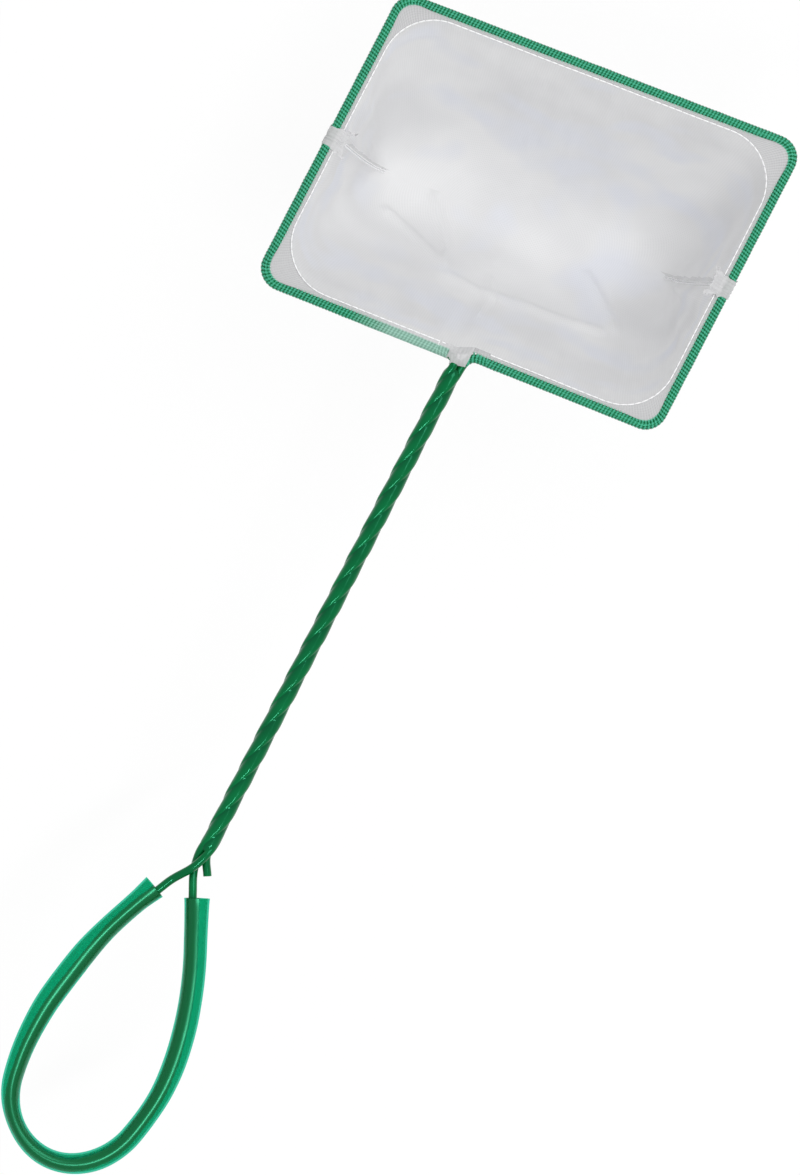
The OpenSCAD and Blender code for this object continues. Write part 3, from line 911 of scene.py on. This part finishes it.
def shaft_skin():
    """The plastic of the three strands where it has run together along the shaft, with its grooves, and
    the share of painted shade that each point takes in them.
    """
    y = np.arange(FORK_Y + 1.0, NECK_START + SKIN_OVER, SKIN_STEP)
    end = np.minimum(y - y[0], y[-1] - y)
    taper = SKIN_END_SHARE + (1 - SKIN_END_SHARE) * np.clip(end / SKIN_TAPER, 0, 1) ** 0.5
    turns = round_angles(SKIN_SIDES)
    place = STRANDS * turns / (2 * math.pi) + CREST_AT
    groove = np.mean([groove_share(place + CREST_ROUND * k) for k in (-1.0, -0.5, 0.0, 0.5, 1.0)], 0)
    turns = turns + lay_angle(0, y)[:, None]
    uneven = SKIN_UNEVEN * np.sin(y[:, None] * 1.3 + turns * 2) * np.sin(y[:, None] * 0.37)
    r = (SKIN_R - GROOVE_DEEP * groove + uneven) * taper[:, None]
    ring = np.stack([r * np.sin(turns), np.repeat(y[:, None], SKIN_SIDES, 1), r * np.cos(turns)], -1)
    # Share of painted shade for each point of the skin, deepest in the grooves
    groove_shade = np.tile(groove**GROOVE_SHADE_POWER, len(y))
    return ring.reshape(-1, 3), capped_faces(len(y), SKIN_SIDES), groove_shade


def make_wire():
    line = wire_line()
    tube, faces = shell_of_tube(tube_rings(line, WIRE_R, WIRE_SIDES), tube_rings(line, BORE_R, WIRE_SIDES))
    skin, skin_faces, groove = shaft_skin()
    faces += shifted(skin_faces, len(tube))
    piece = new_piece("coated_wire", np.concatenate([tube, skin]), faces, COATING, smooth=50.0)
    # groove carries the painted shade of the skin's grooves; the tube takes none
    set_shares(piece, groove=np.concatenate([np.zeros(len(tube)), groove]))
    settle(piece, "net", "wire_coating", *[f"{span}_coating" for span in WIRE_SPANS])
    return line


def make_core(line):
    """The drawn steel wire inside the plastic, from end to end."""
    rings = tube_rings(line, BORE_R - CORE_EASE, CORE_SIDES)
    piece = new_piece("steel_wire", rings, capped_faces(len(line), CORE_SIDES), STEEL, smooth=50.0)
    settle(piece, "net", "steel_core", *[f"{span}_core" for span in WIRE_SPANS])


# The soft sleeve

SLEEVE_SIDES = 56
FLARE = 0.2
FLARE_LEN = 1.6
RIDGE_HALF = 1.7
RIDGE_RISE = 0.06
RIDGE_BLUR = 6
LUMP_SIZE = 12.0
LUMP_RISE = 0.06


def make_sleeve(wire):
    line, half = sleeve_line()
    s = lengths_along(line)
    across = np.cross(tangents(line), UP)
    flare = FLARE * np.exp(-np.minimum(s, s[-1] - s) / FLARE_LEN)
    wide = half + flare
    tall = np.sqrt(2 * (SLEEVE_OD / 2) ** 2 - half**2) + flare
    near = wire[np.abs(wire[:, 2]) < WIRE_R]
    apart = np.linalg.norm(line[:, None, :2] - near[None, :, :2], axis=2)
    beside = near[np.argmin(apart, axis=1)] - line
    blur = np.full(2 * RIDGE_BLUR + 1, 1 / (2 * RIDGE_BLUR + 1))
    offset = np.convolve(np.pad((beside * across).sum(1), RIDGE_BLUR, "edge"), blur, "valid")
    # One column of points follows the ridge that the wire presses up, so that its shine runs smoothly
    turns = round_angles(SLEEVE_SIDES) + np.arccos(np.clip(offset / wide, -1, 1))[:, None]
    outward = across[:, None] * np.cos(turns)[:, :, None] + UP * np.sin(turns)[:, :, None]
    rings = []
    for wall in (0.0, SLEEVE_WALL):
        x = (wide - wall)[:, None] * np.cos(turns)
        z = (tall - wall)[:, None] * np.sin(turns)
        ridge = np.exp(-(((x - offset[:, None]) / RIDGE_HALF) ** 2))
        z = z + RIDGE_RISE * ridge * np.sin(turns)
        rings.append(line[:, None] + across[:, None] * x[:, :, None] + UP * z[:, :, None])
    lumps = rough(rings[0].reshape(-1, 3), LUMP_SIZE, seed=2.0).reshape(turns.shape)
    points, faces = shell_of_tube(*[ring + outward * (LUMP_RISE * lumps)[:, :, None] for ring in rings])
    piece = new_piece("soft_sleeve", points, faces, SLEEVE, smooth=50.0)
    gap = np.sqrt([np.min((near[:, 0] - p[0]) ** 2 + (near[:, 1] - p[1]) ** 2) for p in points])
    set_shares(piece, wire_gap=gap)
    settle(piece, "sleeve", "soft_sleeve", "grip_sleeve")


# The mesh bag

BAG_RINGS = 60
MOUTH_RINGS = 6.0
MOUTH_SPACING = 0.5
HALF_COLUMNS = 120
MOUTH_POWER = 7.0
FOLD_POWER = 2.4
ROUND_POWER = 1.2
WALL_POWER = 0.75
WALL_DRAW_SHARE = 0.38
END_POWER = 0.6
END_DRAW_SHARE = 0.25
BAG_TOP = -HEM_T - HEM_GAP
BAG_HALF_W = HOOP_W / 2 - STITCH_IN
BAG_HALF_L = HOOP_SIDE / 2 - STITCH_IN
NET_T = 0.2


def drawn(a, share):
    """What is left of a width or length at angle a down the bag, as its walls are drawn in."""
    return 1 - share * sin_d(a)


def mouth_halves():
    """The stitch line as a rear half from the left seam to the right one, and a front half back."""
    rear = stitch_line([SEAM_LEFT, REAR_LEFT, REAR_RIGHT, SEAM_RIGHT], MOUTH_SPACING)
    right = stitch_line([SEAM_RIGHT, FRONT_RIGHT, NECK_RIGHT], MOUTH_SPACING)
    left = stitch_line([NECK_LEFT, FRONT_LEFT, SEAM_LEFT], MOUTH_SPACING)
    return even(rear, HALF_COLUMNS), even(joined(right, left), HALF_COLUMNS)


def bag_shape():
    """Rows of points from the mouth to the bottom fold, for the rear and the front panel."""
    panels = []
    for half in mouth_halves():
        u = (half[:, 0] + HOOP_SHIFT) / BAG_HALF_W
        v = (half[:, 1] - front_y(half[:, 0]) - HOOP_SIDE / 2) / BAG_HALF_L
        rows = []
        for i in range(BAG_RINGS + 1):
            a = 90.0 * i / BAG_RINGS
            c = max(cos_d(a), 0.0)
            power = FOLD_POWER + (MOUTH_POWER - FOLD_POWER) * c**ROUND_POWER
            fit = (np.abs(u) ** power + np.abs(v) ** power) ** (-1 / power)
            half_w = FOLD_HALF + (BAG_HALF_W - FOLD_HALF) * c**END_POWER * drawn(a, END_DRAW_SHARE)
            half_l = BAG_HALF_L * c**WALL_POWER * drawn(a, WALL_DRAW_SHARE)
            x = u * fit * half_w - HOOP_SHIFT
            y = front_y(x) + HOOP_SIDE / 2 + v * fit * half_l
            z = BAG_TOP - (BAG_DEPTH + BAG_TOP) * sin_d(a)
            w = min(1.0, i / MOUTH_RINGS)
            x = half[:, 0] + (x - half[:, 0]) * w
            y = half[:, 1] + (y - half[:, 1]) * w
            rows.append(np.stack([x, y, np.full(len(x), z)], 1))
        panels.append(np.array(rows))
    rear, front = panels
    front[-1] = rear[-1][::-1]
    return rear, front


SIM_SCALE = 10.0
SIM_FRAMES = 26
CLOTH = {
    "quality": 7,
    "mass": 0.05,
    "tension_stiffness": 18.0,
    "compression_stiffness": 12.0,
    "shear_stiffness": 6.0,
    "bending_stiffness": 0.35,
    "tension_damping": 12.0,
    "compression_damping": 12.0,
    "shear_damping": 8.0,
    "air_damping": 2.0,
    "vertex_group_mass": "mouth",
    "shrink_min": -0.025,
}
STRAY = 2.5
CREASES = (
    ((-19.0, 305.6), (-6.0, 305.2), (10.0, 308.2), (26.0, 310.0), (39.8, 312.8)),
    ((27.0, 330.0), (38.0, 322.0), (44.5, 316.0)),
    ((-36.0, 330.0), (-28.0, 321.0), (-20.0, 308.0)),
    ((-49.0, 317.0), (-35.0, 313.0), (-22.0, 308.5)),
)
CREASE_HALF = 1.5
CREASE_RISE = 1.3
CREASE_FROM = 6.0


def bag_indices():
    """Vertex numbers of the joined bag for its two panels, which share their seams and the fold."""
    count = (BAG_RINGS + 1) * (HALF_COLUMNS + 1)
    rear, front = np.arange(2 * count).reshape(2, BAG_RINGS + 1, HALF_COLUMNS + 1)
    front[:, 0] = rear[:, -1]
    front[:, -1] = rear[:, 0]
    front[-1] = rear[-1][::-1]
    return np.unique([rear, front], return_inverse=True)[1].reshape(2, *rear.shape)


def simulate_bag(rear, front):
    """Lets the joined bag hang from its mouth, and returns the two panels as they come to rest."""
    grids = bag_indices()
    points = np.zeros((grids.max() + 1, 3))
    points[grids[1]] = front
    points[grids[0]] = rear
    faces = []
    for grid in grids:
        flat = grid.ravel().tolist()
        faces += [tuple(flat[k] for k in face) for face in grid_faces(*grid.shape, flip=True)]
    piece = new_piece("hanging", points * SIM_SCALE, faces, BAG)
    piece.vertex_groups.new(name="mouth").add(np.unique(grids[:, 0]).tolist(), 1.0, "REPLACE")
    cloth = piece.modifiers.new("hang", "CLOTH")
    for key, value in CLOTH.items():
        setattr(cloth.settings, key, value)
    cloth.collision_settings.use_collision = False
    cloth.point_cache.frame_start = 1
    cloth.point_cache.frame_end = SIM_FRAMES
    scene = bpy.context.scene
    for step in range(1, SIM_FRAMES + 1):
        scene.frame_set(step)
    shown = piece.evaluated_get(bpy.context.evaluated_depsgraph_get())
    out = np.zeros(points.size)
    shown.data.vertices.foreach_get("co", out)
    scene.frame_set(1)
    bpy.data.objects.remove(piece)
    return (out.reshape(-1, 3) / (SIM_SCALE * MM))[grids]


def kept_near(moved, start):
    """The hung cloth, with the distance that each point has moved held below STRAY."""
    step = moved - start
    far = np.maximum(np.linalg.norm(step, axis=-1), 1e-9)
    return start + step * (STRAY * np.tanh(far / STRAY) / far)[..., None]


def creased(panel):
    """The panel with its raised creases, which run across it as seen from above."""
    out_of = np.cross(np.gradient(panel, axis=0), np.gradient(panel, axis=1))
    out_of = out_of / np.maximum(np.linalg.norm(out_of, axis=2), 1e-9)[..., None]
    out_of = out_of * np.sign(out_of[..., 2:])
    flat = panel[..., :2].reshape(-1, 2)[None]
    rise = np.zeros(panel.shape[:2])
    for line in CREASES:
        line = np.array(line, float)
        a, b = line[:-1, None], line[1:, None]
        t = np.clip(((flat - a) * (b - a)).sum(2) / ((b - a) ** 2).sum(2), 0, 1)
        gap = np.linalg.norm(flat - (a + (b - a) * t[..., None]), axis=2).min(0)
        rise = rise + np.exp(-((gap / CREASE_HALF) ** 2)).reshape(rise.shape)
    deep = np.clip(-panel[..., 2] / CREASE_FROM, 0, 1)
    return panel + out_of * (CREASE_RISE * np.minimum(rise, 1) * deep)[..., None]


def make_bag():
    """Makes the rear and the front panel, and returns them with the rear panel's rows of points."""
    rear, front = bag_shape()
    hung_rear, hung_front = simulate_bag(rear, front)
    rear, front = kept_near(hung_rear, rear), kept_near(hung_front, front)
    front = creased(front)
    front[-1] = rear[-1][::-1]
    made = []
    for node, grid in (("bag_rear", rear), ("bag_front", front)):
        piece = new_piece(f"{node}_panel", grid, grid_faces(*grid.shape[:2]), BAG)
        uv = np.meshgrid(lengths_along(grid[0]), -lengths_along(grid[:, HALF_COLUMNS // 2]))
        set_uv(piece, np.stack(uv, -1).reshape(-1, 2))
        settle(piece, "net", "bag_mesh", node)
        made.append(piece)
    return made, rear


# The hem: the mesh folded round the wire and sewn just inside the mouth

HEM_R = WIRE_R + HEM_GAP + HEM_T / 2
HEM_SPACING = 0.8
WEB_STEPS = 4
WRAP_STEPS = 16
WRAP_FUZZ = 0.3
WAVE_RISE = 0.07
WAVE_SIZE = 1.7
SWELL_RISE = 0.10
SWELL_SIZE = 6.0
DIP_MOST = -0.02
HALF_GATHER = np.array([0.0, GATHER_LEN / 2 + HEM_GAP])
NECK_BARE = NECK_HALF / 2
LAP_FROM = -42.0
LAP_FADE = 16.0
LAP_MOST = 0.6
NECK_REACH_IN = 3.5


def wrap_points(centre, way_in, reach, steps):
    """Points round the wire, from where a line touches the hem that starts at reach inside it."""
    touch = math.acos(min(1.0, HEM_R / reach))
    angles = np.linspace(touch, 2 * math.pi - touch, steps)
    return centre + HEM_R * (way_in * np.cos(angles)[:, None] + UP * np.sin(angles)[:, None])


def lapped(above, wrap, below, steps):
    """Points from above to the wrap, round it, and back to below."""
    t = np.arange(steps)[:, None] / steps
    return np.concatenate([above + (wrap[0] - above) * t, wrap, (below + (wrap[-1] - below) * t)[::-1]])


def lap_share(points):
    """How far the hem's end laps over itself, left of the neck."""
    start = np.clip((points[:, 0] - LAP_FROM) / LAP_FADE, 0, 1)
    return LAP_MOST * start * (points[:, 0] < 0) * (points[:, 1] < NECK_Y + NECK_REACH_IN)


def make_hem(node, path):
    wire, counts = rounded(path, HOOP_BEND, HEM_SPACING)
    middle, sewn = level(wire), level(stitch_line(path, counts=counts))
    along = tangents(middle)
    way_in = np.cross(along, UP)
    rows = []
    for centre, point, inward in zip(middle, sewn, way_in):
        wrap = wrap_points(centre, inward, max((point - centre) @ inward, HEM_R), WRAP_STEPS + 1)
        rows.append(lapped(point + UP * HEM_T / 2, wrap, point - UP * HEM_T / 2, WEB_STEPS))
    columns = len(rows[0])
    flat = np.concatenate(rows)
    middle, along, way_in = (np.repeat(v, columns, 0) for v in (middle, along, way_in))
    ahead = ((flat - middle) * along).sum(1)
    inward = ((flat - middle) * way_in).sum(1)
    radial = flat - middle - ahead[:, None] * along
    far = np.linalg.norm(radial, axis=1)
    waves = rough(flat, WAVE_SIZE, seed=4.0) * WAVE_RISE + rough(flat, SWELL_SIZE, seed=5.0) * SWELL_RISE
    wrapped = far < HEM_R + WRAP_FUZZ
    flat = flat + radial / far[:, None] * np.where(wrapped, np.maximum(waves, DIP_MOST), 0.0)[:, None]
    flat[:, 2] += np.where(wrapped, 0.0, waves)
    piece = new_piece(f"{node}_cloth", flat, grid_faces(len(rows), columns), HEM)
    s = np.repeat(lengths_along(wire), columns)
    turned = HEM_R * np.arctan2(radial[:, 2], -inward)
    set_uv(piece, np.stack([s + ahead, np.where(wrapped, turned, inward + HEM_R)], 1))
    set_shares(piece, off_wire=inward, lap=lap_share(flat))
    settle(piece, "net", "hem_mesh", node)
    return piece


def make_hems():
    bare = NECK_BARE + HEM_GAP
    neck_left = NECK_LEFT + unit(FRONT_LEFT - NECK_LEFT) * bare
    neck_right = NECK_RIGHT + unit(FRONT_RIGHT - NECK_RIGHT) * bare
    paths = {
        "hem_front_left": [neck_left, FRONT_LEFT, SEAM_LEFT - HALF_GATHER],
        "hem_front_right": [SEAM_RIGHT - HALF_GATHER, FRONT_RIGHT, neck_right],
        "hem_rear": [SEAM_LEFT + HALF_GATHER, REAR_LEFT, REAR_RIGHT, SEAM_RIGHT + HALF_GATHER],
    }
    return [make_hem(node, path) for node, path in paths.items()]


# Stitches

THREAD_R = 0.22
STITCH_PITCH = 2.6
STITCH_SHARE = 0.93
STITCH_SIDES = 6
STITCH_RINGS = 7
STITCH_END_SHARE = 0.16
WANDER = 0.12
WANDER_SIZE = 20.0


def make_stitches(name, node, runs):
    """One piece of all the stitches along some lines. A run is a line and the way out of the cloth."""
    t = np.linspace(0, 1, STITCH_RINGS)[:, None]
    thin = np.sqrt(np.sin(np.linspace(STITCH_END_SHARE, 1 - STITCH_END_SHARE, STITCH_RINGS) * math.pi))
    points, faces = [], []
    for line, lift in runs:
        s = lengths_along(line)
        count = int(s[-1] / STITCH_PITCH)
        for i in range(count):
            ends = [i * s[-1] / count, (i + STITCH_SHARE) * s[-1] / count]
            a, b = (np.array([np.interp(e, s, line[:, k]) for k in range(3)]) for e in ends)
            middle = a + (b - a) * t + lift * np.sin(math.pi * t) ** 0.5
            faces += capped_faces(STITCH_RINGS, STITCH_SIDES, len(points) * STITCH_RINGS * STITCH_SIDES)
            points.append(tube_rings(middle, (THREAD_R * thin)[:, None], STITCH_SIDES))
    piece = new_piece(name, np.concatenate(points), faces, THREAD, smooth=60.0)
    settle(piece, "net", "thread", node)
    return piece


def make_hem_stitches():
    """The hem's stitches, as they show above it and below it."""
    line = stitch_line(HOOP_PATH)
    wander = WANDER * rough(level(line), WANDER_SIZE, seed=8.0)
    runs = []
    for side, z in ((1, HEM_T / 2 + HEM_GAP), (-1, BAG_TOP - NET_T)):
        run = np.column_stack([line + wander[:, None], np.full(len(line), z)])
        runs.append((run, UP * side * THREAD_R))
    return make_stitches("hem_stitches", "hem_stitching", runs)


# The side seams: a gathered patch round the wire, and the ragged allowance inside the bag

GATHER_COLUMNS = 22
GATHER_WEB_STEPS = 11
GATHER_WRAP_POINTS = 22
GATHER_HALF = GATHER_LEN / 2 + 0.6
GATHER_REACH = 5.5
GATHER_SPREAD_SHARE = 0.35
GATHER_LEAN = 1.5
GATHER_LAP = 0.6
GATHER_OPEN = 0.3
TORN_FROM = 0.6
RAGGED = 1.6
TEAR_SIZE = 1.1
FOLD_RISE = 0.55
CREASE_SIZE = 1.1
FINE_RISE = 0.2
LIFT_OVER = 0.25


def folds(flat, across, along, rise, fine, seeds):
    """Heights of gathered folds, from places across and along them, with finer creases on them."""
    place = np.stack([across, along, np.sign(flat[:, 2]) * 3.0], 1)
    return rough(place, 1.0, seeds[0]) * rise + rough(flat, fine, seeds[1]) * FINE_RISE


def gather_patch(at, way_in, seed):
    """A wrinkled patch of cloth that goes from inside the mouth over the wire and back below."""
    side = np.array([-way_in[1], way_in[0], 0.0])
    rows = []
    for u in np.linspace(-1, 1, GATHER_COLUMNS):
        centre = flat3(at) + side * u * GATHER_HALF
        wrap = wrap_points(centre, way_in, GATHER_REACH, GATHER_WRAP_POINTS)
        torn = rough([[u * 3.0, seed, 0.0]], 0.7, seed)[0]
        reach = GATHER_REACH * (1 + GATHER_SPREAD_SHARE * u * u) + RAGGED * torn
        tip = centre + way_in * reach + side * u * GATHER_LEAN
        rows.append(lapped(tip, wrap, tip - UP * GATHER_OPEN, GATHER_WEB_STEPS))
    rows = np.array(rows)
    flat = rows.reshape(-1, 3)
    along = (flat - flat3(at)) @ side
    across = flat - flat3(at) - np.outer(along, side)
    far = np.linalg.norm(across, axis=1)
    ridges = folds(flat, along * 1.6, far * 0.25, FOLD_RISE, CREASE_SIZE, (seed, seed + 3))
    lift = np.maximum(ridges + LIFT_OVER, 0.0) * np.clip(far / HEM_R, 0.0, 1.0)
    away = across / np.maximum(far, 1e-6)[:, None]
    webbed = far > HEM_R + 0.5
    flat = flat + np.where(webbed, 0.0, lift)[:, None] * away
    flat[:, 2] += np.where(webbed, ridges * 0.8 + LIFT_OVER * np.sign(flat[:, 2] + 0.1), 0.0)
    edge = np.clip(np.abs(along) / GATHER_HALF - TORN_FROM, 0, 1)
    place = np.stack([far * 1.4, np.sign(along) * 4, np.sign(flat[:, 2]) * 4], 1)
    torn = rough(place, TEAR_SIZE, seed + 5)
    flat = flat + side * (np.sign(along) * edge * torn * RAGGED * 1.6)[:, None]
    return flat, grid_faces(*rows.shape[:2]), np.stack([along, far], 1)


ALLOWANCE_COLUMNS = 9
LAID_SHARE = 0.75
SWAY_SHARE = 0.3
SWAY_SIZE = 5.0
NICK_DEEP = 0.6
NICK_SIZE = 1.6
FLUTTER_OUT = 0.8
FLUTTER_UP = 0.3
FLUTTER_SIZE = 3.5


def seam_allowance(seam_line, way_in, seed):
    """The raw edges of the seam, laid over against the rear panel, with a ragged edge."""
    s = lengths_along(seam_line)
    along = np.stack([s, 0 * s, 0 * s], 1)
    ragged = SEAM_W * (1 + SWAY_SHARE * rough(along, SWAY_SIZE, seed))
    ragged = ragged + NICK_DEEP * rough(along, NICK_SIZE, seed + 1)
    over = way_in * LAID_SHARE + AHEAD * (1.0 - LAID_SHARE)
    s, w = (v.ravel() for v in np.meshgrid(s, np.linspace(0, 1, ALLOWANCE_COLUMNS), indexing="ij"))
    place, ragged = (np.repeat(v, ALLOWANCE_COLUMNS, 0) for v in (seam_line + way_in * NET_T, ragged))
    wave = rough(np.column_stack([w * 4, s, 0 * w]), FLUTTER_SIZE, seed + 2)
    place = place + over * (ragged * w)[:, None] + way_in * (np.abs(wave) * FLUTTER_OUT * w)[:, None]
    place = place + UP * (wave * FLUTTER_UP * w)[:, None]
    return place, grid_faces(len(seam_line), ALLOWANCE_COLUMNS), np.stack([s, w * SEAM_W], 1)


def make_side_seam(node, at, way_in, seam_line, seed):
    patch, patch_faces, patch_uv = gather_patch(at, way_in, seed)
    strip, strip_faces, strip_uv = seam_allowance(seam_line, way_in, seed + 10)
    faces = patch_faces + shifted(strip_faces, len(patch))
    piece = new_piece(f"{node}_cloth", np.concatenate([patch, strip]), faces, HEM)
    set_uv(piece, np.concatenate([patch_uv, strip_uv]))
    sizes = [len(patch), len(strip)]
    off, lap = np.repeat([[2 * BAND_HALF, SHEER_FROM + 1.0], [GATHER_LAP, 0.0]], sizes, axis=1)
    set_shares(piece, off_wire=off, lap=lap)
    settle(piece, "net", "hem_mesh", node)
    return piece


SEAM_ROWS = slice(1, BAG_RINGS - 5)
SEAM_SEWN_SHARE = 0.4
SEAM_THREAD_OFF = 0.25
SEAM_THREAD_RISE = 0.2


def make_side_seams(rear):
    """The cloth of both side seams, and last the thread of their two rows of stitches each."""
    pieces, runs = [], []
    for node, at, way, column, seed in (
        ("side_seam_left", SEAM_LEFT, ACROSS, 0, 21.0),
        ("side_seam_right", SEAM_RIGHT, -ACROSS, -1, 34.0),
    ):
        line = rear[SEAM_ROWS, column]
        pieces.append(make_side_seam(node, at, way, line, seed))
        for side in (AHEAD, -AHEAD):
            run = line + way * (NET_T + SEAM_W * SEAM_SEWN_SHARE) + side * SEAM_THREAD_OFF
            runs.append((run, side * SEAM_THREAD_RISE))
    return pieces + [make_stitches("seam_stitches", "seam_thread", runs)]


# The bunched mesh over the neck

NECK_COLUMNS = 60
CUT_EDGE = (-1.6, 275.0)
CUT_SLOPE = 0.27
BUNCH_LEFT = -4.6
BUNCH_RIGHT = 3.2
BUNCH_OVER = 0.35
BUNCH_WIDTH = 4.5
BUNCH_SPREAD = 7.0
BUNCH_EDGE_SHARE = 0.35
BUNCH_FOLD_RISE = 0.5
BUNCH_CREASE = 1.2
WRAP_ANGLES = (50.0, 310.0)
STEP_HALF = NECK_HALF * 0.6
OPEN_ROW = 0.9
OPEN_HALF = 4.2


def neck_line(x):
    """Height along the shaft of the wires at x, either side of the neck."""
    ends = ((NECK_LEFT, LEFT_DIR), (NECK_RIGHT, RIGHT_DIR))
    left, right = (at[1] + (x - at[0]) * way[1] / way[0] for at, way in ends)
    share = smooth_step(np.clip((x + STEP_HALF) / (2 * STEP_HALF), 0, 1))
    return left + (right - left) * share


def strand_low(wire, x):
    """The lowest place along the shaft that the wires under the mesh reach at x, with the mesh on them."""
    near = wire[(np.abs(wire[:, 0] - x) < HEM_R) & (wire[:, 1] > NECK_START)]
    return float(np.min(near[:, 1] - np.sqrt(HEM_R**2 - (near[:, 0] - x) ** 2)))


def make_neck(wire):
    half = NECK_HALF + NECK_BARE + HEM_GAP
    angles = np.linspace(*np.radians(WRAP_ANGLES), GATHER_WRAP_POINTS)
    rows = []
    for x in np.linspace(-half, half, NECK_COLUMNS):
        y = neck_line(x)
        edge = CUT_EDGE[1] + (x - CUT_EDGE[0]) * CUT_SLOPE
        low = min(y - HEM_R, max(edge, strand_low(wire, x)))
        thick = HEM_R + (HELIX_R + BUNCH_OVER) * np.exp(-((x / BUNCH_WIDTH) ** 2))
        wrap_y = y + np.cos(angles) * np.where(np.cos(angles) < 0, y - low, HEM_R)
        wrap = np.stack([np.full(len(angles), x), wrap_y, np.sin(angles) * thick], 1)
        tip = np.array([x, y + NECK_REACH_IN, 0.0])
        rows.append(lapped(tip + UP * 0.2, wrap, tip - UP * 0.4, GATHER_WEB_STEPS))
    rows = np.array(rows)
    flat = rows.reshape(-1, 3)
    seeds = (55.0, 57.0)
    ridges = folds(flat, flat[:, 0] * 1.1, flat[:, 1] * 0.35, BUNCH_FOLD_RISE, BUNCH_CREASE, seeds)
    share = BUNCH_EDGE_SHARE + (1 - BUNCH_EDGE_SHARE) * np.exp(-((flat[:, 0] / BUNCH_SPREAD) ** 2))
    flat[:, 2] += np.sign(flat[:, 2]) * np.maximum(ridges + 0.2, 0.0) * share
    open_row = np.abs(rows[:, :, 1] - rows[:, :, 1].min(1)[:, None]) < OPEN_ROW
    hole = (open_row & (np.abs(rows[:, :, 0]) < OPEN_HALF)).reshape(-1)
    faces = grid_faces(*rows.shape[:2])
    piece = new_piece("neck_bunch", flat, [f for f in faces if not all(hole[k] for k in f)], HEM)
    set_uv(piece, np.stack([flat[:, 0], flat[:, 1] + flat[:, 2]], 1))
    off = flat[:, 1] - neck_line(flat[:, 0])
    bunched = (flat[:, 0] > BUNCH_LEFT) & (flat[:, 0] < BUNCH_RIGHT)
    off = np.where(bunched, 2 * BAND_HALF, off)
    set_shares(piece, off_wire=off, lap=np.where(bunched, GATHER_LAP, lap_share(flat)))
    settle(piece, "net", "hem_mesh", "neck_gather")
    return piece


wire = make_wire()
make_core(wire)
make_sleeve(wire)
panels, rear_grid = make_bag()
hems = make_hems()
hem_thread = make_hem_stitches()
seams = make_side_seams(rear_grid)
neck = make_neck(wire)


# Floor, lamps and world

FLOOR_CORNERS = ((-3000.0, -3000.0), (3000.0, -3000.0), (3000.0, 3000.0), (-3000.0, 3000.0))
FLOOR_DROP = 10.0
FLOOR_GLOW = 0.9
FLOOR_GRAIN = 60.0
FLOOR_DARK = (0.88, 0.88, 0.88, 1.0)
FLOOR_LIGHT = (0.92, 0.92, 0.92, 1.0)
WHITE = (1.0, 1.0, 1.0, 1.0)


def make_floor():
    """A floor that is white to the camera and in reflections, and still takes the net's shadow."""
    corners = [(x, y, cad_low.z / MM - FLOOR_DROP) for x, y in FLOOR_CORNERS]
    material, tree, shader = node_material("pale_floor")
    colour = blend_colours(tree, object_noise(tree, FLOOR_GRAIN), FLOOR_DARK, FLOOR_LIGHT)
    set_inputs(shader, Base_Color=colour, Roughness=0.9, Specular_IOR_Level=0.0)
    glow = add_node(tree, "ShaderNodeEmission", Color=WHITE, Strength=1.0)
    path = tree.nodes.new("ShaderNodeLightPath")
    seen = maths(tree, "MAXIMUM", path.outputs["Is Camera Ray"], path.outputs["Is Glossy Ray"])
    seen = maths(tree, "MAXIMUM", seen, path.outputs["Is Transmission Ray"])
    show_mix(tree, maths(tree, "MULTIPLY", seen, FLOOR_GLOW), shader, glow)
    new_piece("floor", corners, [(0, 1, 2, 3)], material)


# Each lamp's place, what it is aimed at, its two sizes in metres and its power in watts
LAMPS = {
    "strip": ((0.45, -0.23, 1.75), (0.0, 0.1, 0.0), 0.8, 0.11, 10.5),
    "soft": ((0.35, 0.95, 1.5), (0.0, 0.2, 0.0), 1.0, 1.0, 9.0),
}
WORLD_LEVEL = 0.7


def add_lamp(name, place, target, size, size_y, power):
    data = bpy.data.lights.new(name, "AREA")
    data.shape = "RECTANGLE"
    data.size = size
    data.size_y = size_y
    data.energy = power
    lamp = add_object(name, data)
    lamp.location = place
    lamp.rotation_euler = (Vector(target) - Vector(place)).to_track_quat("-Z", "Y").to_euler()


def make_light():
    for name, values in LAMPS.items():
        add_lamp(name, *values)
    world = bpy.data.worlds.new("studio")
    world.use_nodes = True
    set_inputs(node_of(world.node_tree, "BACKGROUND"), Color=WHITE, Strength=WORLD_LEVEL)
    bpy.context.scene.world = world


make_floor()
make_light()
bpy.context.scene.view_settings.view_transform = "Standard"
